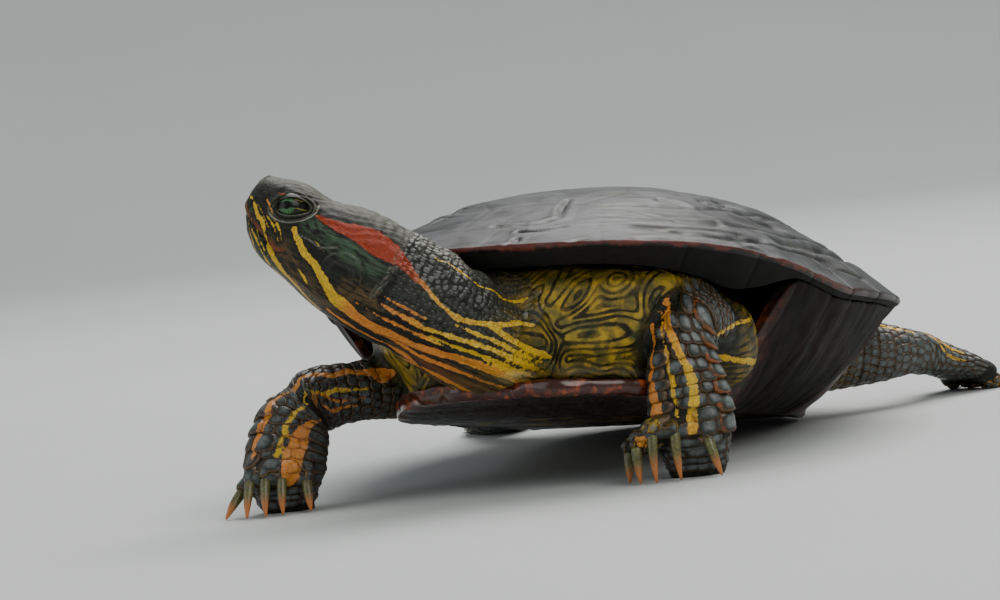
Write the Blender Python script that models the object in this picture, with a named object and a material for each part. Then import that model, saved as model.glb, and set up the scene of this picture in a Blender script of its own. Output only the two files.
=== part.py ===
"""Red-eared slider turtle, life size, standing and looking over its right shoulder.

The animal faces -Y, its left side is +X, and the floor is Z = 0. Lengths are written in
millimetres and turned into metres when a mesh is made. The shell is drawn in its own level
frame about its centre, then tipped nose up and lifted onto the legs. Each leg, the neck and
the tail is a tube along a smooth line through a few joints.
"""
import math

import bmesh
import bpy
from mathutils import Matrix, Vector

MM = 0.001
GAP = 0.3                      # clearance between neighbouring pieces
FRAME_SHIFT = (-4.1, -0.285, 0.0)   # moves the finished animal so its bounds are centred

# ---- shell ----
SHELL_LENGTH = 192.0
SHELL_WIDTH = 148.0
DOME_HEIGHT = 31.5             # above the level of the side rims
BELLY_DEPTH = 30.5             # below the level of the side rims
SHELL_WALL = 4.0
RIM_THICKNESS = 2.6
RIM_FLANGE = 11.0              # width of the underside of the rim plates
FLANGE_DROP_FRONT = 5.0        # how far that underside slopes down, in front
FLANGE_DROP_SIDE = 13.0        # and where it runs into the bridge
FLANGE_DROP_REAR = 6.0
FRONT_RIM_RISE = 11.5
REAR_RIM_RISE = 1.0
SHELL_PITCH = 7.5              # degrees, nose up
SHELL_ROLL = -1.8              # degrees, left side up
SHELL_CENTRE = (0.0, 0.0, 39.5)
SHELL_STEPS = 40               # directions round the shell

BELLY_FLAT_HALF = 40.0         # half width of the flat of the plastron
BRIDGE_CURVE = 1.6             # how the bridge wall sweeps up to the rim
LOBE_HALF_WIDTH = 47.0
FRONT_LOBE = 90.0
REAR_LOBE = 82.0
LOBE_UPTURN = 4.0
BRIDGE_FRONT_ANGLE = 43.0      # degrees from straight left, towards the head
BRIDGE_REAR_ANGLE = 33.0
BRIDGE_FADE = 9.0              # half the angle over which bridge turns into lobe

SKIN_BULGE_FRONT = 5.0         # how far the pocket skin swells out between the rims
SKIN_BULGE_REAR = 3.0

# ---- head ----
HEAD_SNOUT = (-58.0, -110.0, 81.5)
HEAD_TURN = 74.0               # degrees to the right of straight ahead
HEAD_PITCH = 38.5              # degrees up
HEAD_ROLL = -2.0
EYE_RADIUS = 4.3
EYE_PLACE = (11.6, 4.6, 5.6)   # back from the snout, up, and out to the side
MOUTH_GAPE_BACK = 15.0

# ---- colours: base colour, roughness ----
COLOURS = {
    "shell": ((0.045, 0.045, 0.045), 0.35),
    "plastron": ((0.085, 0.03, 0.02), 0.4),
    "skin": ((0.07, 0.075, 0.04), 0.55),
    "eye": ((0.12, 0.2, 0.06), 0.1),
    "claw": ((0.2, 0.13, 0.05), 0.35),
}


# ---------------------------------------------------------------- small maths

def mix(a, b, t):
    return a + (b - a) * t


def smooth(low, high, value):
    """0 below low, 1 above high and a soft step between."""
    t = min(max((value - low) / (high - low), 0.0), 1.0)
    return t * t * (3.0 - 2.0 * t)


def spline(values, t):
    """Catmull-Rom curve through values (vectors or numbers), t from 0 to len - 1."""
    last = len(values) - 1
    i = min(max(int(math.floor(t)), 0), last - 1)
    f = t - i
    p1, p2 = values[i], values[i + 1]
    p0 = values[i - 1] if i > 0 else p1 * 2 - p2
    p3 = values[i + 2] if i + 2 <= last else p2 * 2 - p1
    return (p1 * 2 + (p2 - p0) * f + (p0 * 2 - p1 * 5 + p2 * 4 - p3) * (f * f)
            + (p1 * 3 - p0 - p2 * 3 + p3) * (f * f * f)) * 0.5


def rounded(angle, power):
    """Point on a unit superellipse; power 2 is a circle and more is squarer."""
    c, s = math.cos(angle), math.sin(angle)
    return (math.copysign(abs(c) ** (2.0 / power), c),
            math.copysign(abs(s) ** (2.0 / power), s))


# ---------------------------------------------------------------- making objects

def material(kind):
    found = bpy.data.materials.get(kind)
    if found:
        return found
    colour, roughness = COLOURS[kind]
    made = bpy.data.materials.new(kind)
    made.use_nodes = True
    shader = made.node_tree.nodes["Principled BSDF"]
    shader.inputs["Base Color"].default_value = (*colour, 1.0)
    shader.inputs["Roughness"].default_value = roughness
    shader.inputs["Metallic"].default_value = 0.0
    made.diffuse_color = (*colour, 1.0)
    return made


def mesh_object(name, mesh, kind):
    thing = bpy.data.objects.new(name, mesh)
    bpy.context.scene.collection.objects.link(thing)
    mesh.materials.clear()
    mesh.materials.append(material(kind).copy())
    mesh.materials[0].name = name
    mesh.shade_smooth()
    mesh.set_sharp_from_angle(angle=math.radians(50))
    return thing


def ring_mesh(name, rings, first_pole=None, last_pole=None):
    """Closed mesh through rings of points; each end is a fan to its pole, or a flat cap."""
    shape = bmesh.new()
    rows = [[shape.verts.new(Vector(p) * MM) for p in ring] for ring in rings]
    count = len(rows[0])
    for lower, upper in zip(rows, rows[1:]):
        for i in range(count):
            j = (i + 1) % count
            shape.faces.new((lower[i], lower[j], upper[j], upper[i]))
    for row, pole in ((rows[0], first_pole), (rows[-1], last_pole)):
        if pole is None:
            shape.faces.new(row)
            continue
        tip = shape.verts.new(Vector(pole) * MM)
        for i in range(count):
            shape.faces.new((row[i], row[(i + 1) % count], tip))
    bmesh.ops.recalc_face_normals(shape, faces=shape.faces)
    # Warped quads would be split one way or the other by each later step.
    bmesh.ops.triangulate(shape, faces=shape.faces)
    mesh = bpy.data.meshes.new(name)
    shape.to_mesh(mesh)
    shape.free()
    return mesh


def boolean(mesh, others, operation, solver="EXACT"):
    """Mesh with each of the other meshes cut away, added or kept in common."""
    for other in others:
        helper = bpy.data.objects.new("helper", mesh)
        tool = bpy.data.objects.new("helper_tool", other)
        for thing in (helper, tool):
            bpy.context.scene.collection.objects.link(thing)
        step = helper.modifiers.new("step", "BOOLEAN")
        step.operation = operation
        step.solver = solver
        step.object = tool
        graph = bpy.context.evaluated_depsgraph_get()
        graph.update()
        mesh = bpy.data.meshes.new_from_object(helper.evaluated_get(graph))
        for thing in (helper, tool):
            bpy.data.objects.remove(thing)
    return mesh


def swollen(mesh, amount):
    """Copy of a mesh pushed out along its normals, to cut its neighbours with a gap."""
    shape = bmesh.new()
    shape.from_mesh(mesh)
    shape.normal_update()
    moves = [vert.normal * (amount * MM * min(vert.calc_shell_factor(), 3.0)) for vert in shape.verts]
    for vert, move in zip(shape.verts, moves):
        vert.co += move
    grown = bpy.data.meshes.new(mesh.name + "_swollen")
    shape.to_mesh(grown)
    shape.free()
    return grown


def cut_at_floor(mesh):
    """Take off what would be under the floor and close the cut with a flat sole."""
    shape = bmesh.new()
    shape.from_mesh(mesh)
    everything = shape.verts[:] + shape.edges[:] + shape.faces[:]
    cut = bmesh.ops.bisect_plane(shape, geom=everything, dist=1e-7, plane_co=(0, 0, 0),
                                 plane_no=(0, 0, 1), clear_inner=True)
    edges = [item for item in cut["geom_cut"] if isinstance(item, bmesh.types.BMEdge)]
    bmesh.ops.holes_fill(shape, edges=edges)
    bmesh.ops.recalc_face_normals(shape, faces=shape.faces)
    shape.to_mesh(mesh)
    shape.free()
    return mesh


def main_body(mesh):
    """Mesh without the specks and small closed pockets that a union can leave."""
    shape = bmesh.new()
    shape.from_mesh(mesh)
    left = set(shape.verts)
    bodies = []
    while left:
        stack = [left.pop()]
        body = set(stack)
        while stack:
            fresh = {v for edge in stack.pop().link_edges for v in edge.verts} & left
            left -= fresh
            body |= fresh
            stack += fresh
        bodies.append(body)
    keep = max(bodies, key=len)
    bmesh.ops.delete(shape, geom=[v for v in shape.verts if v not in keep], context="VERTS")
    shape.to_mesh(mesh)
    shape.free()
    return mesh


def trimmed(mesh, around):
    """What is left of a limb outside its swollen neighbours."""
    # EXACT leaves some of the overlap along the folded edges of the swollen copies.
    return main_body(boolean(mesh, around, "DIFFERENCE", "MANIFOLD"))


# ---------------------------------------------------------------- shell

def to_world():
    """Level shell frame to the world: tip nose up, roll, and lift onto the legs."""
    return (Matrix.Translation(Vector(SHELL_CENTRE) * MM)
            @ Matrix.Rotation(math.radians(-SHELL_PITCH), 4, "X")
            @ Matrix.Rotation(math.radians(-SHELL_ROLL), 4, "Y"))


def rim_radius(angle):
    """Plan of the carapace, an oval a little broader behind and blunter in front."""
    c, s = math.cos(angle), math.sin(angle)
    half_width = SHELL_WIDTH / 2 * (1.0 + 0.045 * s)
    half_length = SHELL_LENGTH / 2
    power = 2.35 if s < 0 else 2.2
    return (abs(c / half_width) ** power + abs(s / half_length) ** power) ** (-1.0 / power)


def rim_height(angle):
    forward = -math.sin(angle)
    return (FRONT_RIM_RISE * smooth(0.25, 1.0, forward) + REAR_RIM_RISE * smooth(0.4, 1.0, -forward))


def dome_point(angle, r):
    """Outer face of the carapace, r from 0 at the top to 1 at the rim."""
    sideways = math.cos(angle) ** 2
    steepness = mix(1.2, 1.05, sideways)
    height = DOME_HEIGHT * (1.0 - r ** 2.4) ** steepness + rim_height(angle) * r * r
    return Vector((rim_radius(angle) * r, height))


def inner_dome_point(angle, r, wall):
    """Same face moved inwards by the wall, measured square to the surface."""
    step = 0.01
    low, high = max(r - step, 0.0), min(r + step, 0.995)
    along = dome_point(angle, high) - dome_point(angle, low)
    along.normalize()
    point = dome_point(angle, r) + Vector((along.y, -along.x)) * wall
    return Vector((max(point.x, 0.0), point.y))


def turned(name, profile_at):
    """Closed mesh from a profile (out, up) for each direction round the shell."""
    rings, first, last = None, None, None
    for i in range(SHELL_STEPS):
        angle = 2 * math.pi * i / SHELL_STEPS
        profile = profile_at(angle)
        first, last = profile[0], profile[-1]
        if rings is None:
            rings = [[] for _ in profile[1:-1]]
        for ring, point in zip(rings, profile[1:-1]):
            ring.append((point.x * math.cos(angle), point.x * math.sin(angle), point.y))
    mesh = ring_mesh(name, rings, (0, 0, first.y), (0, 0, last.y))
    mesh.transform(to_world())
    return mesh


OUTER_STEPS = (0.0, 0.2, 0.4, 0.55, 0.68, 0.79, 0.88, 0.95, 1.0)
INNER_STEPS = (1.0, 0.84, 0.62, 0.36, 0.0)


def inner_reach(angle):
    """How far out the hollow under the dome goes, as a share of the rim radius."""
    return 1.0 - mix(RIM_FLANGE + 6.0, 7.0, bridge_share(angle)) / rim_radius(angle)


def flange(angle):
    """Width and drop of the underside of the rim; both fade out where the bridge takes over."""
    open_share = 1.0 - bridge_share(angle)
    forward = -math.sin(angle)
    end_drop = FLANGE_DROP_FRONT if forward > 0 else FLANGE_DROP_REAR
    drop = mix(FLANGE_DROP_SIDE, end_drop, smooth(0.55, 1.0, abs(forward)))
    return mix(2.0, RIM_FLANGE, open_share), mix(RIM_THICKNESS, drop, open_share)


def flange_point(angle, share):
    """Underside of the rim, share from 0 at the edge to 1 at its inner lip."""
    width, drop = flange(angle)
    rim = dome_point(angle, 1.0)
    return rim + Vector((-0.5 - (width - 0.5) * share, mix(-RIM_THICKNESS * 0.6, -drop, share)))


def carapace_mesh():
    def profile(angle):
        points = [dome_point(angle, r) for r in OUTER_STEPS]
        points += [flange_point(angle, share) for share in (0.0, 0.35, 1.0)]
        lip = points[-1]
        points.append(lip + Vector((-2.2, mix(0.3, 0.0, bridge_share(angle)))))
        reach = inner_reach(angle)
        points += [inner_dome_point(angle, reach * s, SHELL_WALL) for s in INNER_STEPS]
        points[-1].x = 0.0
        return points
    return turned("carapace", profile)


def bridge_share(angle):
    """1 along the bridge at either side, 0 at the front and rear lobes."""
    degrees = math.degrees(math.asin(math.sin(angle)))
    reach = BRIDGE_REAR_ANGLE if degrees > 0 else BRIDGE_FRONT_ANGLE
    return 1.0 - smooth(reach - BRIDGE_FADE, reach + BRIDGE_FADE, abs(degrees))


def lobe_radius(angle):
    c, s = math.cos(angle), math.sin(angle)
    length = REAR_LOBE if s > 0 else FRONT_LOBE
    power = 2.3 if s > 0 else 2.8
    return (abs(c / LOBE_HALF_WIDTH) ** power + abs(s / length) ** power) ** (-1.0 / power)


def plastron_edge(angle):
    rim = rim_radius(angle) - 2.2
    return mix(lobe_radius(angle), rim, bridge_share(angle))


def belly_height(angle, out):
    """Outer, lower face of plastron and bridge at a distance out from the middle."""
    x, y = out * abs(math.cos(angle)), out * math.sin(angle)
    wall_top = rim_radius(angle) - 2.2
    half = max(wall_top * abs(math.cos(angle)), BELLY_FLAT_HALF + 12.0)
    share = min(max((x - BELLY_FLAT_HALF) / (half - BELLY_FLAT_HALF), 0.0), 1.0)
    top = rim_height(angle) - RIM_THICKNESS - GAP
    wall = (top + BELLY_DEPTH) * share ** BRIDGE_CURVE
    upturn = LOBE_UPTURN * smooth(50.0, FRONT_LOBE, abs(y))
    return -BELLY_DEPTH + wall + upturn


BELLY_STEPS = (0.0, 0.35, 0.55, 0.68, 0.8, 0.9, 1.0)


def belly_point(angle, share, inward=0.0):
    """Lower face of the shell, moved inwards by a wall measured square to the face."""
    edge = plastron_edge(angle)
    out = edge * share
    step = edge * 0.02
    low, high = max(out - step, 0.0), min(out + step, edge)
    slope = (belly_height(angle, high) - belly_height(angle, low)) / (high - low)
    normal = Vector((-slope, 1.0)).normalized()
    point = Vector((out, belly_height(angle, out))) + normal * inward
    return Vector((max(point.x, 0.0), point.y))


def plastron_mesh():
    def profile(angle):
        outer = [belly_point(angle, s) for s in BELLY_STEPS]
        inner = [belly_point(angle, s, SHELL_WALL) for s in reversed(BELLY_STEPS[:-1])]
        lobe = 1.0 - bridge_share(angle)
        edge = belly_point(angle, 1.0)
        lip = edge + Vector((0.4 * lobe - 2.6 * (1 - lobe), mix(-0.05, SHELL_WALL * 0.75, lobe)))
        outer[0].x = inner[-1].x = 0.0
        return outer + [lip] + inner
    return turned("plastron", profile)


def trunk_mesh():
    """Flesh that fills the shell, and swells out between its rims as pocket skin."""
    clear = SHELL_WALL + 2.5 * GAP

    def profile(angle):
        bridge = bridge_share(angle)
        front = smooth(0.0, 0.4, -math.sin(angle))
        lip = flange_point(angle, 1.0)
        belly_reach = mix(1.0 - 5.0 / plastron_edge(angle), BELLY_STEPS[-3], bridge)
        top = [inner_dome_point(angle, inner_reach(angle) * s, clear) for s in reversed(INNER_STEPS)]
        below = [belly_point(angle, s, clear + GAP) for s in (belly_reach,) + BELLY_STEPS[-4::-1]]
        bulge = mix(SKIN_BULGE_REAR, SKIN_BULGE_FRONT, front)
        under_lip = lip + Vector((-1.5, -1.5))
        pocket = [lip + Vector((-3.4, -0.35)), under_lip]
        pocket += [under_lip.lerp(below[0], t) + Vector((bulge * math.sin(math.pi * t ** 0.7), 0.0))
                   for t in (0.33, 0.67)]
        wall = []
        for k, point in enumerate(pocket):
            inside = top[-1].lerp(below[0], (k + 1) / (len(pocket) + 1))
            wall.append(point.lerp(inside, bridge))
        top[0].x = below[-1].x = 0.0
        return top + wall + below
    return turned("trunk", profile)


# ---------------------------------------------------------------- tubes for flesh

class Tube:
    """Rounded tube through joints: (place, half breadth, half depth, breadth direction)."""

    def __init__(self, joints, sides, power=2.2):
        self.places = [Vector(j[0]) for j in joints]
        self.breadths = [j[1] for j in joints]
        self.depths = [j[2] for j in joints]
        self.across = [Vector(j[3]).normalized() for j in joints]
        self.sides = sides
        self.power = power

    def place(self, t):
        return spline(self.places, t)

    def frame(self, t):
        ahead = (self.place(t + 0.02) - self.place(t - 0.02)).normalized()
        across = spline(self.across, t)
        across = (across - ahead * across.dot(ahead)).normalized()
        return ahead, across, ahead.cross(across)

    def ring(self, t, lift=0.0):
        ahead, across, deep = self.frame(t)
        centre = self.place(t) + ahead * lift
        breadth, depth = spline(self.breadths, t), spline(self.depths, t)
        points = []
        for i in range(self.sides):
            a, b = rounded(2 * math.pi * i / self.sides, self.power)
            points.append(centre + across * (breadth * a) + deep * (depth * b))
        return points

    def mesh(self, name, start, end, steps, lift=0.0, round_end=False):
        """Length of the tube from start to end, its first face moved on by lift."""
        rings = [self.ring(mix(start, end, k / steps), lift if k == 0 else 0.0)
                 for k in range(steps + 1)]
        pole = None
        if round_end:
            pole = self.place(end) + self.frame(end)[0] * (self.depths[-1] * 0.5)
        return ring_mesh(name, rings, None, pole)


UP = (0, 0, 1)
FOOT_BREADTH = (0.94, 0.31, -0.1)      # breadth of the front feet, square to their toes

FORELEGS = {
    "left": dict(
        joints=[((28, -36, 32), 13, 12, UP), ((42, -50, 31), 12.0, 11, UP),
                ((42.5, -62.5, 35.0), 9.5, 8.5, (0.5, 0, 1)),
                ((40.6, -71.5, 37.3), 7.6, 7.4, (1, 0, 0.3)),
                ((40.2, -76.3, 31.0), 8.2, 6.6, FOOT_BREADTH),
                ((40.8, -77.6, 22.5), 9.8, 5.8, FOOT_BREADTH),
                ((41.4, -77.6, 14.0), 10.4, 4.8, FOOT_BREADTH),
                ((41.0, -75.8, 7.0), 8.6, 4.5, FOOT_BREADTH),
                ((40.5, -73.6, -1.5), 6.6, 4.9, FOOT_BREADTH)],
        cuts=(0.0, 2.6, 5.6, 8.0)),
    "right": dict(
        joints=[((-28, -40, 33), 12, 12, UP), ((-41, -55, 29), 10, 10, UP),
                ((-50, -66, 28.2), 7.6, 7.6, UP),
                ((-59.5, -72, 27.3), 8.6, 7.4, (0.5, 0.2, 1)),
                ((-64.8, -77, 22.5), 9.8, 6.8, (1, 0.3, 0.3)),
                ((-66, -81.5, 16.5), 10.3, 5.8, FOOT_BREADTH),
                ((-66.6, -83.6, 10.5), 10.4, 5.2, FOOT_BREADTH),
                ((-67.4, -82.6, 5.0), 8.2, 4.9, FOOT_BREADTH),
                ((-67.8, -81.0, -1.5), 6.4, 4.9, FOOT_BREADTH)],
        cuts=(0.0, 3.1, 5.4, 8.0)),
}
HIND_LEGS = {
    "left": dict(
        joints=[((26, 40, 22), 14, 13, UP), ((42, 55, 19), 12, 12, UP),
                ((56, 66, 16), 8.6, 8.6, UP), ((63.5, 76, 14.5), 6.0, 6.5, UP),
                ((67, 86, 12.0), 6.5, 5.0, (1, -0.5, 0)),
                ((71, 95, 8.5), 10, 4.0, (1, -0.5, 0)),
                ((75.5, 103, 5.0), 11, 2.8, (1, -0.5, 0))],
        cuts=(0.0, 2.3, 4.0, 6.0)),
    "right": dict(
        joints=[((-26, 40, 22), 14, 13, UP), ((-41, 55, 18.5), 12, 12, UP),
                ((-54, 66, 15), 9, 9, UP), ((-61, 74, 12), 6.8, 7, UP),
                ((-63.5, 81, 7.5), 7.5, 5.2, (1, 0.3, 0)),
                ((-66, 88.5, 4.0), 10, 4.0, (1, 0.3, 0)),
                ((-68.5, 96.5, 2.6), 11, 2.6, (1, 0.3, 0))],
        cuts=(0.0, 2.4, 4.0, 6.0)),
}

# Each claw: place where it leaves the toe, and its tip on the floor.
FORE_CLAWS = {
    "left": [((25.7, -82.6, 7.2), (25.5, -84.0, 0.4)), ((29.0, -87.0, 8.8), (29.3, -87.6, 0.4)),
             ((33.4, -87.0, 12.0), (33.6, -88.0, 0.4)), ((38.6, -84.8, 11.6), (39.3, -85.6, 0.4)),
             ((46.2, -81.2, 9.2), (48.9, -82.0, 0.4))],
    "right": [((-59.6, -87.2, 7.6), (-58.4, -89.6, 0.4)), ((-65.2, -90.2, 9.0), (-64.7, -93.2, 0.4)),
              ((-69.2, -91.8, 9.2), (-68.7, -95.2, 0.4)), ((-73.5, -91.5, 9.0), (-73.8, -95.6, 0.4)),
              ((-77.4, -88.4, 6.4), (-80.4, -93.6, 0.4))],
}
TOE_ROOTS = {"left": (39.0, -75.5, 11.0), "right": (-67.5, -80.0, 9.0)}
CLAW_RADIUS = 1.25
TOE_RADIUS = 2.0
TOE_SIDES = 6
FORE_BOW = (0.0, -0.12, 0.04)         # bow of the claws, as a share of their length
HIND_BOW = (0.0, 0.0, 0.1)
HIND_TOES = 4
HIND_TOE_SPACING = 5.2
HIND_CLAW_LENGTH = 8.0

TAIL = [((0, 62, 16), 9, 8, (1, 0, 0)), ((1, 80, 12.5), 6.5, 6, (1, 0, 0)),
        ((4, 95, 7.5), 4.4, 4.2, (1, 0.2, 0)), ((9, 107, 3.8), 2.8, 2.8, (1, 0.4, 0)),
        ((16, 117, 1.3), 1.5, 1.5, (1, 0.5, 0))]

# Head outline, measured back from the snout: crown, throat, half width, level of the widest part.
HEAD_SECTIONS = [
    (0.3, 5.6, -1.2, 3.0, 1.0), (1.4, 7.6, -3.2, 4.6, 1.0), (4.0, 9.2, -6.2, 6.2, 0.5),
    (8.0, 10.9, -9.2, 7.9, 0.5), (12.0, 11.6, -10.6, 9.2, 0.5), (16.0, 11.4, -11.2, 10.2, 0.5),
    (20.0, 11.9, -11.9, 11.6, 0.0), (26.0, 14.0, -13.1, 13.0, -1.0), (32.0, 15.1, -13.7, 13.6, -1.0),
    (39.5, 15.3, -13.6, 12.8, 0.5)]
NECK_JOINTS = [((-20.5, -99.1, 52.6), 12.6, 14.2, None), ((-13.9, -95.1, 46.2), 13.0, 14.0, None),
               ((-8.3, -87.8, 39.6), 13.6, 14.0, None), ((-4.6, -75.5, 36.0), 14.5, 13.6, None),
               ((-2.0, -54.0, 35.0), 16.0, 13.0, None)]
NECK_SIDE = [(0.30, -0.95, 0.05), (0.42, -0.90, 0.05), (0.66, -0.74, 0.04), (0.9, -0.4, 0.0),
             (1.0, -0.1, 0.0), (1.0, 0.0, 0.0)]


# ---------------------------------------------------------------- head and neck

def head_frame():
    """Columns: back from the snout, out to the animal's left, up through the crown."""
    turn, pitch = math.radians(HEAD_TURN), math.radians(HEAD_PITCH)
    level = Vector((math.sin(turn), math.cos(turn), 0.0))
    back = level * math.cos(pitch) - Vector((0, 0, 1)) * math.sin(pitch)
    left = Vector((math.cos(turn), -math.sin(turn), 0.0))
    left = Matrix.Rotation(math.radians(HEAD_ROLL), 3, back) @ left
    crown = back.cross(left)
    if crown.z < 0:
        crown = -crown
    return back, left, crown


def in_head(back_by, left_by, up_by):
    back, left, crown = head_frame()
    return Vector(HEAD_SNOUT) + back * back_by + left * left_by + crown * up_by


def head_ring(section, sides=20):
    along, crown, throat, half, level = section
    points = []
    for i in range(sides):
        a, b = rounded(2 * math.pi * i / sides, 2.3)
        reach = (crown - level) if b > 0 else (level - throat)
        points.append(in_head(along, half * a, level + reach * b))
    return points


def head_blank():
    rings = [head_ring(section) for section in HEAD_SECTIONS]
    return ring_mesh("head", rings, in_head(-0.5, 0, 2.0))


def jaw_block(grow):
    """Prism that takes the lower jaw out of the head along the line of the mouth."""
    outline = [(-4.0, -1.9), (4.5, -4.0), (10.0, -5.9), (MOUTH_GAPE_BACK, -6.5), (19.5, -15.5), (-4.0, -15.5)]
    centre = Vector((8.0, -10.0))
    grown = []
    for along, up in outline:
        away = (Vector((along, up)) - centre).normalized() * grow * 1.6
        grown.append((along + away.x, up + away.y))
    rings = [[in_head(a, side, u) for a, u in grown] for side in (-16.0, 16.0)]
    return ring_mesh("jaw_block", rings)


def head_space():
    """Block that ends the neck on a plane square to the head, just behind it."""
    back_end = HEAD_SECTIONS[-1][0] + GAP
    rings = [[in_head(along, side, up) for side, up in ((-24, -24), (24, -24), (24, 24), (-24, 24))]
             for along in (back_end - 22.0, back_end)]
    return ring_mesh("head_space", rings)


def ball(name, centre, radius):
    shape = bmesh.new()
    bmesh.ops.create_uvsphere(shape, u_segments=12, v_segments=8, radius=radius * MM)
    bmesh.ops.translate(shape, verts=shape.verts, vec=Vector(centre) * MM)
    mesh = bpy.data.meshes.new(name)
    shape.to_mesh(mesh)
    shape.free()
    return mesh


def eye_centre(side):
    along, up, out = EYE_PLACE
    return in_head(along, side * out, up)


def neck_tube():
    joints = [(in_head(39.8, 0.0, 0.85), 12.8, 14.4, None)] + NECK_JOINTS
    return Tube([(place, across, deep, side) for (place, across, deep, _), side in zip(joints, NECK_SIDE)],
                20, 2.15)


# ---------------------------------------------------------------- feet

def claw_middle(base, tip, bow):
    """Control point that bows a claw out by a share of its length."""
    return base.lerp(tip, 0.5) + Vector(bow) * (tip - base).length


def claw_mesh(name, base, tip, radius, bow):
    """Curved horn from a round base to a blunt point."""
    base, tip = Vector(base), Vector(tip)
    middle = claw_middle(base, tip, bow)
    start = base + (middle - base).normalized() * GAP
    rings = []
    steps = 3
    for k in range(steps + 1):
        t = k / steps
        centre = start * (1 - t) ** 2 + middle * (2 * t * (1 - t)) + tip * t * t
        ahead = ((middle - start) * (1 - t) + (tip - middle) * t).normalized()
        side = ahead.cross(Vector((0.3, -0.9, 0.3))).normalized()
        deep = ahead.cross(side)
        r = radius * (1.0 - 0.78 * t ** 1.3)
        ring = [centre + side * (r * math.cos(a)) + deep * (r * 1.15 * math.sin(a))
                for a in (2 * math.pi * i / 6 for i in range(6))]
        rings.append(ring)
    return ring_mesh(name, rings)


def toe_mesh(root, base, tip, radius, bow):
    """Toe from inside the foot, over its knuckle, to the flat face that carries the claw."""
    root, base = Vector(root), Vector(base)
    ahead = (claw_middle(base, Vector(tip), bow) - base).normalized()
    knuckle = base - ahead * 2.6
    side = ahead.cross(knuckle - root).normalized()
    deep = ahead.cross(side)
    shape = bmesh.new()
    # Level 0 is the flat end; the others are belts of a ball at the knuckle and of one at the root.
    belts = [(base, 0.0, 0.85), (knuckle, 0.0, 1.1), (knuckle, -0.9, 0.7),
             (root, 0.5, 1.1), (root, -0.5, 1.1)]
    for centre, level, share in belts:
        for i in range(TOE_SIDES):
            a = 2 * math.pi * i / TOE_SIDES
            out = side * math.cos(a) + deep * math.sin(a)
            shape.verts.new((centre + ahead * (level * radius) + out * (share * radius)) * MM)
    hull = bmesh.ops.convex_hull(shape, input=shape.verts)
    spare = [item for item in hull["geom_interior"] if isinstance(item, bmesh.types.BMVert)]
    bmesh.ops.delete(shape, geom=spare, context="VERTS")
    bmesh.ops.recalc_face_normals(shape, faces=shape.faces)
    mesh = bpy.data.meshes.new("toe")
    shape.to_mesh(mesh)
    shape.free()
    return mesh


def foot_with_toes(foot, toes):
    """One body of foot and toes, standing on a flat sole."""
    # EXACT loses part of the foot where the toes cross.
    return cut_at_floor(main_body(boolean(foot, toes, "UNION", "MANIFOLD")))


def fore_foot(side, tube, cuts):
    foot = tube.mesh("forefoot_" + side, cuts[2], cuts[3], 5, lift=GAP)
    root = Vector(TOE_ROOTS[side])
    toes = [toe_mesh(root.lerp(Vector(base), 0.35), base, tip, TOE_RADIUS, FORE_BOW)
            for base, tip in FORE_CLAWS[side]]
    return foot_with_toes(foot, toes)


def hind_claws(tube, end):
    """Claw bases and tips fanned across the end of a hind foot."""
    ahead, across, _ = tube.frame(end)
    ahead = Vector((ahead.x, ahead.y, 0.0)).normalized()
    centre = tube.place(end)
    claws = []
    for i in range(HIND_TOES):
        offset = (i - (HIND_TOES - 1) / 2) * HIND_TOE_SPACING
        spread = (ahead + across * (offset * 0.035)).normalized()
        base = centre + across * offset + spread * (4.6 - 0.02 * offset ** 2)
        base.z = 2.0
        tip = base + spread * HIND_CLAW_LENGTH
        tip.z = 0.5
        claws.append((base, tip))
    return claws


def hind_foot(side, tube, cuts):
    foot = tube.mesh("hindfoot_" + side, cuts[2], cuts[3], 5, lift=GAP, round_end=True)
    toes = []
    for base, tip in hind_claws(tube, cuts[3]):
        root = base + (base - tip) * 0.9
        root.z = 3.6
        toes.append(toe_mesh(root, base, tip, TOE_RADIUS, HIND_BOW))
    return foot_with_toes(foot, toes)


# ---------------------------------------------------------------- whole animal

def clear_scene():
    for thing in list(bpy.data.objects):
        bpy.data.objects.remove(thing)


def build_leg(side, leg, names, foot_maker, around):
    tube = Tube(leg["joints"], 12)
    cuts = leg["cuts"]
    upper = tube.mesh(names[0] + side, cuts[0], cuts[1], 6)
    upper = trimmed(upper, around)
    mesh_object(names[0] + side, upper, "skin")
    lower = tube.mesh(names[1] + side, cuts[1], cuts[2], 6, lift=GAP)
    mesh_object(names[1] + side, trimmed(lower, around + [swollen(upper, GAP)]), "skin")
    mesh_object(names[2] + side, foot_maker(side, tube, cuts), "skin")
    return tube


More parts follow.
